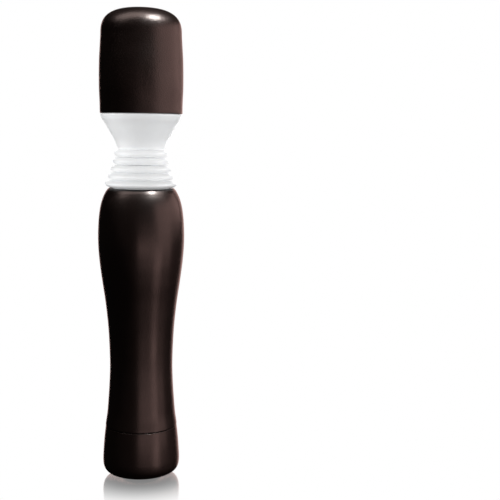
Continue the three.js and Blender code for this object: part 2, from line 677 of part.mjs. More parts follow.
/** Stem and first folds of the soft neck, fixed in the grip. */
function neckLowerFolds() {
  const [outer, inner] = foldWall(FOLDS.slice(0, 2));
  const flange = STEM_RADIUS + FLANGE_REACH;
  const bore = STEM_RADIUS - STEM_WALL;
  const outline = wall(
    [[flange, STEM_FLANGE_Z], [flange, STEM_FLANGE_Z + STEM_FLANGE],
      [STEM_RADIUS, STEM_FLANGE_Z + STEM_FLANGE], [STEM_RADIUS, HANDLE_TOP + GAP], ...outer],
    [[bore, STEM_FLANGE_Z], ...inner],
  );
  piece('neck_lower_folds', turned(outline, INNER_ROUND), 'neckSilicone');
}

/** Middle fold, which moves on its own between the two bends. */
function neckMiddleFold() {
  const [outer, inner] = foldWall(FOLDS.slice(2, 3));
  piece('neck_middle_fold', turned(wall(outer, inner), INNER_ROUND), 'neckSilicone');
}

/** Upper folds and the funnel that widens to the lip under the head. */
function neckUpperSleeve() {
  const [outer, inner] = foldWall(FOLDS.slice(3));
  const foldsTop = outer[outer.length - 1][1];
  const span = (share) => riseFrom(foldsTop, LIP_Z - 1.5, share);
  const flare = (share) => riseFrom(THROAT_RADIUS, LIP_RADIUS, share);
  const shoulder = Math.max(flare(0.75), HEAD_SCREW_REACH + HEAD_SCREW_HEAD + SCREW_CLEAR);
  const funnel = smooth([
    [flare(0), span(0.06)], [flare(0.1), span(0.22)], [flare(0.4), span(0.61)],
    [shoulder, span(0.91)], [flare(1), span(1)],
  ], 6);
  const lining = funnel.slice(0, -1).map(([radius, z]) => [radius - BELLOWS_WALL, z + 0.5]);
  const spigotBore = SPIGOT_RADIUS - SPIGOT_WALL;
  const outline = wall(
    [...outer, ...funnel, [LIP_RADIUS, LIP_Z], [SPIGOT_RADIUS, LIP_Z], [SPIGOT_RADIUS, SPIGOT_TOP]],
    [...inner, ...lining, [spigotBore, LIP_Z - 0.6], [spigotBore, SPIGOT_TOP]],
  );
  piece('neck_upper_sleeve', turned(outline, INNER_ROUND), 'neckSilicone');
}

/** Flat twin lead: two cores side by side in one jacket. */
function twinLead(bottom, top) {
  const half = 0.85;
  const shape = new THREE.Shape();
  shape.absarc(half, 0, 0.8, -Math.PI / 2, Math.PI / 2, false);
  shape.absarc(-half, 0, 0.8, Math.PI / 2, 1.5 * Math.PI, false);
  return raised(shape, bottom, top);
}

/** Fixed rings, the steel core and the lead inside the neck. */
function neckCore() {
  const seat = HANDLE_TOP - 1.4;
  const socketBore = COIL_RADIUS - COIL_WIRE - 0.6;
  const socket = turned([
    [socketBore, CARRIER_Z + 1.6 + GAP], [SOCKET_RADIUS, CARRIER_Z + 1.6 + GAP],
    [SOCKET_RADIUS, HANDLE_TOP + 0.4], [COIL_RADIUS + COIL_WIRE + GAP, HANDLE_TOP + 0.4],
    [COIL_RADIUS + COIL_WIRE + GAP, seat], [socketBore, seat],
  ], INNER_ROUND);
  piece('neck_socket', socket, 'plasticDark');
  const middle = (SPLIT_LOW + SPLIT_HIGH) / 2;
  const spans = [
    ['lower', seat + GAP, middle - GAP / 2],
    ['upper', middle + GAP / 2, NECK_TOP_PLUG_Z - GAP],
  ];
  spans.forEach(([name, bottom, top]) => {
    const turns = Math.round((top - bottom) / 2.4);
    const pitch = (top - bottom - 2 * COIL_WIRE) / turns;
    piece(`neck_spring_${name}`, coil(COIL_RADIUS, 1.4, bottom + COIL_WIRE, pitch, turns), 'steel');
  });
  piece('motor_lead_lower', twinLead(CARRIER_Z + 0.6, middle - GAP / 2), 'leadJacket');
  piece('motor_lead_upper', twinLead(middle + GAP / 2, TERMINAL_Z - GAP), 'leadJacket');
}

// ---------------------------------------------------------------- head

/** Plate in the top of the neck that carries the coil and the motor housing. */
function headBase() {
  const bore = COIL_RADIUS - COIL_WIRE - 0.6;
  const plugRadius = THROAT_RADIUS - BELLOWS_WALL - GAP - 0.5;
  const plateRadius = SPIGOT_RADIUS - SPIGOT_WALL - GAP;
  const wireRoom = 6.6;
  const plug = turned([
    [bore, NECK_TOP_PLUG_Z], [plugRadius, NECK_TOP_PLUG_Z], [plugRadius, BASE_PLATE_Z],
    [plateRadius, BASE_PLATE_Z], [plateRadius, BASE_PLATE_Z + PLATE_THICKNESS],
    [wireRoom, BASE_PLATE_Z + PLATE_THICKNESS], [wireRoom, BASE_PLATE_Z], [bore, BASE_PLATE_Z - 1],
  ], INNER_ROUND);
  const holes = headScrewAngles().map((angle) => bar(1 + GAP, BASE_PLATE_Z - 3, BASE_PLATE_Z + 4, 10)
    .translate(HEAD_SCREW_REACH * Math.cos(angle), HEAD_SCREW_REACH * Math.sin(angle), 0));
  piece('head_base', cut(plug, ...holes), 'plasticDark');
}

const PLATE_THICKNESS = 3;
const HEAD_SCREWS = 4;

/** Screws stand clear of the plane where the housing splits. */
function headScrewAngles() {
  return Array.from({ length: HEAD_SCREWS }, (_, i) => Math.PI / 4 + (i * 2 * Math.PI) / HEAD_SCREWS);
}

/** Screws from the base plate up into the housing halves. */
function headScrews() {
  headScrewAngles().forEach((angle, i) => {
    const head = bar(HEAD_SCREW_HEAD, BASE_PLATE_Z - 1.6, BASE_PLATE_Z - GAP, 12);
    const shank = bar(0.9, BASE_PLATE_Z - 1, HEAD_BOTTOM + 6, 10);
    const x = HEAD_SCREW_REACH * Math.cos(angle);
    const y = HEAD_SCREW_REACH * Math.sin(angle);
    piece(`head_screw_${i + 1}`, join(head, shank).translate(x, y, 0), 'steel');
  });
}

/** Domed cover with the soft finish. */
function headCover() {
  const dome = corner(DOME_RADIUS, 0, DOME_Z, TOTAL_HEIGHT - DOME_Z, DOME_POWER, 7).slice(1);
  const roomRise = TOTAL_HEIGHT - COVER_WALL - DOME_Z;
  const room = corner(DOME_RADIUS - COVER_WALL, 0, DOME_Z, roomRise, DOME_POWER, 4).slice(1);
  const outer = [...HEAD_SIDE, ...dome];
  outer[outer.length - 1][0] = 0;
  room[room.length - 1][0] = 0;
  const inner = [[COVER_BORE, HEAD_BOTTOM], ...offset(HEAD_SIDE.slice(2), -COVER_WALL), ...room];
  piece('head_cover', turned(wall(outer, inner)), 'softTouch');
}

/** Two halves that clamp the motor and keep the spinning weight away from the cover. */
function motorHousing() {
  const bottom = BASE_PLATE_Z + PLATE_THICKNESS + GAP;
  const neckRadius = SPIGOT_RADIUS - SPIGOT_WALL - GAP;
  const bodyRadius = COVER_BORE - GAP;
  const roomTop = WEIGHT_Z + WEIGHT_HEIGHT + 1.4;
  const domeFoot = DOME_Z;
  const rise = TOTAL_HEIGHT - COVER_WALL - GAP - 0.6 - domeFoot;
  const dome = corner(bodyRadius - 0.5, 0, domeFoot, rise, DOME_POWER, 4);
  dome[dome.length - 1][0] = 0;
  const whole = turned([
    [0, bottom], [neckRadius, bottom], [neckRadius, SPIGOT_TOP + GAP], [bodyRadius, SPIGOT_TOP + GAP],
    ...dome,
  ], INNER_ROUND);
  const motorRoom = raised(flattedRound(MOTOR_RADIUS + GAP, MOTOR_HALF_THICKNESS + GAP), MOTOR_Z - 2.2,
    MOTOR_TOP + GAP);
  const leadRoom = bar(7.6, bottom - 1, MOTOR_Z - 2, INNER_ROUND);
  const weightRoom = bar(WEIGHT_RADIUS + 1.6, WEIGHT_Z - 1.2, roomTop, INNER_ROUND);
  const boss = bar(3.4, MOTOR_TOP - 1, WEIGHT_Z, SMALL_ROUND);
  const screwHoles = headScrewAngles().map((angle) => bar(0.9 + GAP, bottom - 1, HEAD_BOTTOM + 7, 10)
    .translate(HEAD_SCREW_REACH * Math.cos(angle), HEAD_SCREW_REACH * Math.sin(angle), 0));
  const shaped = cut(whole, motorRoom, leadRoom, weightRoom, boss, ...screwHoles);
  onBothSides((name, side) => {
    const half = block(side * (30 + GAP / 2), 0, HEAD_BOTTOM, 60, 60, 4 * HEAD_HEIGHT);
    piece(`motor_housing_${name}`, common(shaped, half), 'plasticDark');
  });
}

/** Flat-sided can, its end cap, its bush and the pieces that stand still in it. */
function motorStator() {
  const inside = flattedRound(MOTOR_RADIUS - CAN_WALL, MOTOR_HALF_THICKNESS - CAN_WALL);
  const can = cut(
    raised(flattedRound(MOTOR_RADIUS, MOTOR_HALF_THICKNESS), MOTOR_Z, MOTOR_TOP),
    raised(inside, MOTOR_Z - 1, MOTOR_TOP - CAN_WALL),
    bar(2.6, MOTOR_TOP - 3, MOTOR_TOP + 1, SMALL_ROUND),
  );
  piece('motor_can', can, 'steel');
  const cap = join(
    raised(flattedRound(MOTOR_RADIUS, MOTOR_HALF_THICKNESS), MOTOR_Z - 1.9, MOTOR_Z - GAP),
    raised(flattedRound(MOTOR_RADIUS - CAN_WALL - GAP, MOTOR_HALF_THICKNESS - CAN_WALL - GAP),
      MOTOR_Z - 1.2, MOTOR_Z + 1.6),
  );
  piece('motor_end_cap', cut(cap, bar(SHAFT_RADIUS + GAP, MOTOR_Z, MOTOR_Z + 3, 12)), 'plasticNatural');
  const bush = ring(SHAFT_RADIUS + GAP, 2.3, MOTOR_TOP - 2.4, MOTOR_TOP + 1.2, SMALL_ROUND);
  piece('motor_bush', bush, 'brass');
  onBothSides((name, side) => {
    const facing = side > 0 ? 0 : Math.PI;
    const arc = sector(7.4, MOTOR_RADIUS - CAN_WALL - GAP, facing, 0.62);
    piece(`motor_magnet_${name}`, raised(arc, MOTOR_Z + 5, MOTOR_TOP - 3.6), 'magnet');
    piece(`motor_brush_${name}`, block(side * (COMMUTATOR_RADIUS + GAP + 0.5), 0, MOTOR_Z + 3.2, 1, 1.2, 1.6),
      'copper');
    const reach = MOTOR_Z - 2.2 - TERMINAL_Z;
    const upright = block(side * 4.2, 0, TERMINAL_Z + reach / 2, 0.6, 2, reach);
    const tab = block(side * 3.1, 0, TERMINAL_Z + 0.25, 2.8, 2, 0.5);
    piece(`motor_terminal_${name}`, join(upright, tab), 'brass');
  });
}

/** Everything that spins: shaft, armature, commutator and the weight that shakes the head. */
function motorRotor() {
  piece('motor_shaft', bar(SHAFT_RADIUS, MOTOR_Z + GAP, MOTOR_TOP + SHAFT_REACH, 14), 'steel');
  const poles = [0, 1, 2].map((i) => block(4.9, 0, 0, 4.4, 1.6, MOTOR_LENGTH)
    .rotateZ(Math.PI / 3 + (i * 2 * Math.PI) / 3).translate(0, 0, MOTOR_Z + MOTOR_LENGTH / 2));
  const stack = ring(SHAFT_RADIUS + GAP, 6.6, MOTOR_Z + 6, MOTOR_TOP - 4, INNER_ROUND);
  piece('motor_armature', cut(stack, ...poles), 'copper');
  const bars = ring(SHAFT_RADIUS + GAP, COMMUTATOR_RADIUS, MOTOR_Z + 2.2, MOTOR_Z + 5, SMALL_ROUND);
  piece('motor_commutator', bars, 'copper');
  const lobe = raised(sector(SHAFT_RADIUS + 1, WEIGHT_RADIUS, 0, 1.45), WEIGHT_Z, WEIGHT_Z + WEIGHT_HEIGHT);
  const hub = bar(3, WEIGHT_Z, WEIGHT_Z + WEIGHT_HEIGHT, SMALL_ROUND);
  const bore = bar(SHAFT_RADIUS + GAP, WEIGHT_Z - 1, WEIGHT_Z + WEIGHT_HEIGHT + 1, 14);
  piece('eccentric_weight', cut(join(lobe, hub), bore), 'steel');
}

// ---------------------------------------------------------------- assembly

capCollar();
dialShell();
dialFittings();
baseElectrics();
cell('battery_lower', CELL_BOTTOM);
cell('battery_upper', CELL_BOTTOM + CELL_LENGTH + GAP);
sealRing();
gripSkin();
gripHalves();
threadNipple();
batteryTube();
leadCarrier();
neckLowerFolds();
neckMiddleFold();
neckUpperSleeve();
neckCore();
headBase();
headScrews();
headCover();
motorHousing();
motorStator();
motorRotor();

export default wand;
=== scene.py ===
"""Battery wand massager: the visible surfaces and finishes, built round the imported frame.

Every place comes from the frame. Outlines are written in millimetres and turned into meshes in metres.
"""

import json
import logging
import math
from dataclasses import dataclass
from enum import Enum
from typing import Callable, Sequence

import bpy
import numpy as np
from mathutils import Matrix, Vector


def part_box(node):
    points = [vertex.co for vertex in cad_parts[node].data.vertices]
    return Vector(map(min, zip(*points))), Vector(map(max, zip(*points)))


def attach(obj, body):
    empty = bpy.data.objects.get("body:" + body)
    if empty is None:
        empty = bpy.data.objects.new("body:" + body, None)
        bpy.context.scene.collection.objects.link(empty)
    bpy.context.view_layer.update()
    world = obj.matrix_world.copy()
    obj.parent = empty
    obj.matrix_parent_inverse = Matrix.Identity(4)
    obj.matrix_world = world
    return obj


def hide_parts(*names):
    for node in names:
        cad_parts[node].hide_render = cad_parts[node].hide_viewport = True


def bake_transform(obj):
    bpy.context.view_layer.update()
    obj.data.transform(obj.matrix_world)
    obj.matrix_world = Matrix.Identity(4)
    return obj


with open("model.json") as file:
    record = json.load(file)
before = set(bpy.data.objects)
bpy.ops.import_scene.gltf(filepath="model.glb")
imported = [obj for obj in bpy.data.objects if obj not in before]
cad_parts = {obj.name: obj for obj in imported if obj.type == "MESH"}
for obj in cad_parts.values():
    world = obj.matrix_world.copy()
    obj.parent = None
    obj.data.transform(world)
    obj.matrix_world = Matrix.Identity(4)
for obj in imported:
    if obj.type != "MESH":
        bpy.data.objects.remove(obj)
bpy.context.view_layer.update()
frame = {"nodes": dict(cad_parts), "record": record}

LOG = logging.getLogger("wand")
MM = 0.001
THREAD_PITCH = 2.5  # climb of the grip's thread for each turn, in millimetres
FULL_TURN = 2 * math.pi

# steps round the axis, and steps along a threaded wall
LARGE_ROUND = 160
NECK_ROUND = 144
SMALL_ROUND = 120
CELL_ROUND = 96
THREAD_ROWS = 110

Colour = tuple[float, float, float]


# ---------------------------------------------------------------- frame measures


def node_span(node: str) -> tuple[float, float, float]:
    """Heights and radius of a node that is centred on the axis.

    Args:
        node: CAD node name.

    Returns:
        Lowest height, highest height and largest radius, in millimetres.
    """
    low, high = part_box(node)
    return low[2] / MM, high[2] / MM, max(high[0], -low[0]) / MM


# ---------------------------------------------------------------- outlines


def spline(points: Sequence[tuple[float, float]], count: int) -> np.ndarray:
    """Smooth curve through the given points.

    Each stretch is a cubic Hermite curve. The slope at a point is the chord between its neighbours
    over the distance along the points, and the parameter is that distance.

    Args:
        points: (radius, height) pairs.
        count: steps along the whole curve.

    Returns:
        An array of count + 1 (radius, height) rows.
    """
    p = np.array(points, float)
    along = np.concatenate([[0], np.cumsum(np.linalg.norm(np.diff(p, axis=0), axis=1))])
    slope = np.gradient(p, along, axis=0)
    s = np.linspace(0, along[-1], count + 1)
    i = np.clip(np.searchsorted(along, s, side="right") - 1, 0, len(p) - 2)
    length = (along[i + 1] - along[i])[:, None]
    t = (s[:, None] - along[i][:, None]) / length
    return (
        (2 * t**3 - 3 * t**2 + 1) * p[i]
        + (t**3 - 2 * t**2 + t) * length * slope[i]
        + (3 * t**2 - 2 * t**3) * p[i + 1]
        + (t**3 - t**2) * length * slope[i + 1]
    )


def rounded(start: tuple[float, float], end: tuple[float, float], power: float, count: int) -> np.ndarray:
    """Rounded corner that leaves start upright and reaches end level.

    The radius goes from start to end as cos(a)^(2/power) and the height as sin(a)^(2/power), for a
    from nought to a quarter turn, which is a superellipse.

    Args:
        start: (radius, height) where the wall is upright.
        end: (radius, height) where the surface is level.
        power: 2 is a round corner and more is a squarer one.
        count: steps along the corner.

    Returns:
        An array of (radius, height) rows.
    """
    a = np.linspace(0, math.pi / 2, count + 1)
    fall = np.abs(np.cos(a)) ** (2 / power)
    rise = np.abs(np.sin(a)) ** (2 / power)
    fall[-1] = 0
    return np.stack([end[0] + (start[0] - end[0]) * fall, start[1] + (end[1] - start[1]) * rise], axis=1)


def softened(points: Sequence[tuple[float, float]], radius: float, steps: int = 4) -> np.ndarray:
    """Outline whose corners are eased.

    Each corner is replaced by a quadratic curve that starts and ends radius away from it, or a third
    of the way along a shorter side. The two ends of the outline stay as they are.

    Args:
        points: (radius, height) corners.
        radius: how far the easing reaches.
        steps: steps round each corner.

    Returns:
        An array of (radius, height) rows.
    """
    p = np.array(points, float)
    before = p[:-2] - p[1:-1]
    after = p[2:] - p[1:-1]
    near = [np.linalg.norm(side, axis=1)[:, None] for side in (before, after)]
    start = p[1:-1] + before / near[0] * np.minimum(radius, near[0] / 3)
    end = p[1:-1] + after / near[1] * np.minimum(radius, near[1] / 3)
    t = np.linspace(0, 1, steps + 1)[None, :, None]
    eased = (1 - t) ** 2 * start[:, None] + 2 * t * (1 - t) * p[1:-1][:, None] + t**2 * end[:, None]
    return np.concatenate([p[:1], eased.reshape(-1, 2), p[-1:]])


def joined(*stretches: np.ndarray | Sequence[tuple[float, float]]) -> np.ndarray:
    """One outline from several stretches, without repeated points.

    Args:
        stretches: (radius, height) rows, in order.

    Returns:
        An array of (radius, height) rows.
    """
    p = np.concatenate([np.array(stretch, float) for stretch in stretches])
    keep = np.concatenate([[True], np.linalg.norm(np.diff(p, axis=0), axis=1) > 1e-4])
    return p[keep]


# ---------------------------------------------------------------- meshes


def mesh_object(name: str, vertices: np.ndarray, faces: list[list[int]],
                crease: float = 38) -> bpy.types.Object:
    """Smooth-shaded object at the origin, with its place in its mesh.

    Args:
        name: piece name.
        vertices: rows of x, y, z in metres.
        faces: vertex numbers of each face.
        crease: edges sharper than this angle, in degrees, stay sharp.

    Returns:
        The new object, linked to the scene.
    """
    mesh = bpy.data.meshes.new(name)
    mesh.from_pydata(vertices.tolist(), [], faces)
    mesh.update()
    mesh.polygons.foreach_set("use_smooth", np.ones(len(mesh.polygons), dtype=bool))
    mesh.set_sharp_from_angle(angle=math.radians(crease))
    piece = bpy.data.objects.new(name, mesh)
    bpy.context.scene.collection.objects.link(piece)
    return piece


def grid_faces(rows: int, columns: int, wrap_rows: bool, wrap_columns: bool) -> np.ndarray:
    """Four-sided faces of a grid whose vertices are numbered along its rows.

    Args:
        rows: rows of vertices.
        columns: vertices in a row.
        wrap_rows: whether the last row joins the first.
        wrap_columns: whether the end of a row joins its start.

    Returns:
        An array with the four vertex numbers of each face.
    """
    i = np.arange(rows if wrap_rows else rows - 1)
    j = np.arange(columns if wrap_columns else columns - 1)
    i, j = np.meshgrid(i, j, indexing="ij")
    up, right = (i + 1) % rows, (j + 1) % columns
    corners = [i * columns + j, i * columns + right, up * columns + right, up * columns + j]
    return np.stack(corners, axis=-1).reshape(-1, 4)


Relief = Callable[[np.ndarray, np.ndarray, np.ndarray], np.ndarray]


def turned(name: str, outline: np.ndarray, facets: int = 128,
           relief: Relief | None = None) -> bpy.types.Object:
    """Solid of revolution.

    A point of the outline at radius r and height z goes to (r cos a, r sin a, z) for every angle a.
    An outline that doesn't start and end on the axis closes on itself. A relief adds to the radius.

    Args:
        name: piece name.
        outline: (radius, height) rows in millimetres, anticlockwise with the radius to the right.
        facets: steps round the axis.
        relief: function of the radii, heights and angles that gives what to add to each radius.

    Returns:
        The closed object, with its faces outwards.
    """
    r, z = outline[:, 0], outline[:, 1]
    on_axis = bool(r[0] < 1e-6 and r[-1] < 1e-6)
    if np.sum(r * np.roll(z, -1) - np.roll(r, -1) * z) < 0:
        r, z = r[::-1], z[::-1]
    angle = np.linspace(0, FULL_TURN, facets, endpoint=False)
    radii, angles = np.meshgrid(r, angle, indexing="ij")
    heights = np.repeat(z[:, None], facets, axis=1)
    if relief is not None:
        radii = radii + relief(radii, heights, angles)
    points = np.stack([radii * np.cos(angles), radii * np.sin(angles), heights], axis=-1) * MM
    rows = len(r)
    numbers = np.arange(rows * facets).reshape(rows, facets)
    if not on_axis:
        quads = grid_faces(rows, facets, True, True)
        return mesh_object(name, points.reshape(-1, 3), quads.tolist())
    inner = grid_faces(rows, facets, False, True)[facets:-facets]
    turn = np.roll(np.arange(facets), -1)
    first, last = numbers[0, 0], numbers[-1, 0]
    low = np.stack([np.full(facets, first), numbers[1][turn], numbers[1]], axis=1)
    high = np.stack([np.full(facets, last), numbers[-2], numbers[-2][turn]], axis=1)
    used = np.concatenate([[first], numbers[1:-1].ravel(), [last]])
    renumber = np.zeros(rows * facets, dtype=int)
    renumber[used] = np.arange(len(used))
    faces = renumber[inner].tolist() + renumber[low].tolist() + renumber[high].tolist()
    return mesh_object(name, points.reshape(-1, 3)[used], faces)


def swept(name: str, path: np.ndarray, section: np.ndarray, sideways: np.ndarray) -> bpy.types.Object:
    """Section carried along a path, with flat ends.

    At each step the section's own x runs along the sideways direction made square to the path, and
    its y runs along the path direction crossed with that.

    Args:
        name: piece name.
        path: rows of x, y, z in millimetres.
        section: rows of x, y in millimetres, anticlockwise.
        sideways: one direction for each step of the path.

    Returns:
        The closed object.
    """
    ahead = np.gradient(path, axis=0)
    ahead /= np.linalg.norm(ahead, axis=1)[:, None]
    across = sideways - np.sum(sideways * ahead, axis=1)[:, None] * ahead
    across /= np.linalg.norm(across, axis=1)[:, None]
    over = np.cross(ahead, across)
    points = path[:, None] + section[None, :, :1] * across[:, None] + section[None, :, 1:] * over[:, None]
    rows, columns = points.shape[:2]
    faces = grid_faces(rows, columns, False, True).tolist()
    ends = [list(range(columns))[::-1], list(range((rows - 1) * columns, rows * columns))]
    return mesh_object(name, points.reshape(-1, 3) * MM, faces + ends, crease=50)


def round_section(radius: float, sides: int = 16) -> np.ndarray:
    """Circle as rows of x, y."""
    a = np.linspace(0, FULL_TURN, sides, endpoint=False)
    return radius * np.stack([np.cos(a), np.sin(a)], axis=1)


def coiled(name: str, low: float, high: float, foot: float, head: float, wire: float,
           turns: int) -> bpy.types.Object:
    """Wire spring about the axis.

    The centre line climbs evenly between its two closed end turns, and its radius goes evenly from
    foot to head. The wire's section is a circle square to the line.

    Args:
        name: piece name.
        low: lowest point of the wire.
        high: highest point of the wire.
        foot: coil radius at the bottom, to the middle of the wire.
        head: coil radius at the top, to the middle of the wire.
        wire: wire radius.
        turns: number of turns.

    Returns:
        The closed object.
    """
    t = np.linspace(0, 1, turns * 40 + 1)
    a = FULL_TURN * turns * t
    share = np.clip((t - 0.5 / turns) / (1 - 1 / turns), 0, 1)
    radius = foot + (head - foot) * t
    height = low + wire + (high - low - 2 * wire) * share
    path = np.stack([radius * np.cos(a), radius * np.sin(a), height], axis=1)
    outwards = np.stack([np.cos(a), np.sin(a), 0 * a], axis=1)
    return swept(name, path, round_section(wire), outwards)


def thread_relief(low: float, high: float, pitch: float, start: float, depth: float, share: float) -> Relief:
    """Helical ridge for a turned piece.

    The ridge follows a point that climbs one pitch a turn. Across the ridge its height is a flat crest
    with smooth flanks, and it fades in and out over half a pitch at its two ends.

    Args:
        low: height where the ridge begins.
        high: height where it ends.
        pitch: climb for each turn.
        start: height of the ridge at angle nought.
        depth: how far it stands out, or in when negative.
        share: part of the pitch that the ridge takes.

    Returns:
        The relief function.
    """

    def relief(radii: np.ndarray, heights: np.ndarray, angles: np.ndarray) -> np.ndarray:
        """Radius to add at each point.

        Args:
            radii: radii of the points.
            heights: their heights.
            angles: their angles.

        Returns:
            What to add to each radius.
        """
        turn = (heights - start) / pitch - angles / FULL_TURN
        off = np.abs(turn - np.round(turn))
        crest = np.clip((share / 2 - off) / (0.35 * share) + 0.5, 0, 1)
        begins = np.clip((heights - low) / (0.5 * pitch), 0, 1)
        ends = np.clip((high - heights) / (0.5 * pitch), 0, 1)
        return depth * crest**2 * (3 - 2 * crest) * begins * ends

    return relief


# ---------------------------------------------------------------- shared shader groups


class Shared(Enum):
    """Effects that several finishes use, each one node group."""

    GRAIN = "moulded_grain"
    TONE = "tone_drift"
    HANDLING = "handling_sheen"
    STREAKS = "drawn_streaks"


class NodeTree:
    """Short way to add and link the nodes of one tree."""

    def __init__(self, tree: bpy.types.NodeTree) -> None:
        """Keeps the tree that the nodes go into."""
        self.tree = tree

    def add(self, kind: str, **values: object) -> bpy.types.Node:
        """Adds a node.

        Args:
            kind: node type name.
            values: attributes of the node, or input values where the name is an input's.

        Returns:
            The node.
        """
        node = self.tree.nodes.new(kind)
        for name, value in values.items():
            label = name.replace("_", " ")
            socket = next((s for s in node.inputs if s.name.lower() == label.lower() and s.enabled), None)
            if hasattr(node, name) and name not in ("inputs", "outputs"):
                setattr(node, name, value)
            elif isinstance(value, bpy.types.NodeSocket):
                self.tree.links.new(value, socket)
            else:
                socket.default_value = value
        return node

    def link(self, source: bpy.types.NodeSocket, target: bpy.types.NodeSocket) -> None:
        """Joins an output to an input."""
        self.tree.links.new(source, target)

    def ramp(self, fac: bpy.types.NodeSocket, low: float, high: float) -> bpy.types.NodeSocket:
        """Smooth step of a value from low to high, as nought to one.

        Args:
            fac: the value.
            low: what gives nought.
            high: what gives one.

        Returns:
            The step.
        """
        node = self.add("ShaderNodeMapRange", interpolation_type="SMOOTHSTEP")
        self.link(fac, node.inputs["Value"])
        node.inputs["From Min"].default_value = low
        node.inputs["From Max"].default_value = high
        return node.outputs["Result"]

    def blend_value(self, fac: bpy.types.NodeSocket, low: object, high: object) -> bpy.types.NodeSocket:
        """Value that goes from low to high with a factor.

        Args:
            fac: the factor, from nought to one.
            low: number or socket at nought.
            high: number or socket at one.

        Returns:
            The value.
        """
        node = self.add("ShaderNodeMapRange")
        self.link(fac, node.inputs["Value"])
        for name, value in (("To Min", low), ("To Max", high)):
            if isinstance(value, bpy.types.NodeSocket):
                self.link(value, node.inputs[name])
            else:
                node.inputs[name].default_value = value
        return node.outputs["Result"]

    def math(self, operation: str, *values: object) -> bpy.types.NodeSocket:
        """Result of one sum.

        Args:
            operation: name of the sum.
            values: numbers or sockets, in the order of the node's inputs.

        Returns:
            The result.
        """
        node = self.add("ShaderNodeMath", operation=operation)
        for socket, value in zip(node.inputs, values):
            if isinstance(value, bpy.types.NodeSocket):
                self.link(value, socket)
            else:
                socket.default_value = value
        return node.outputs[0]


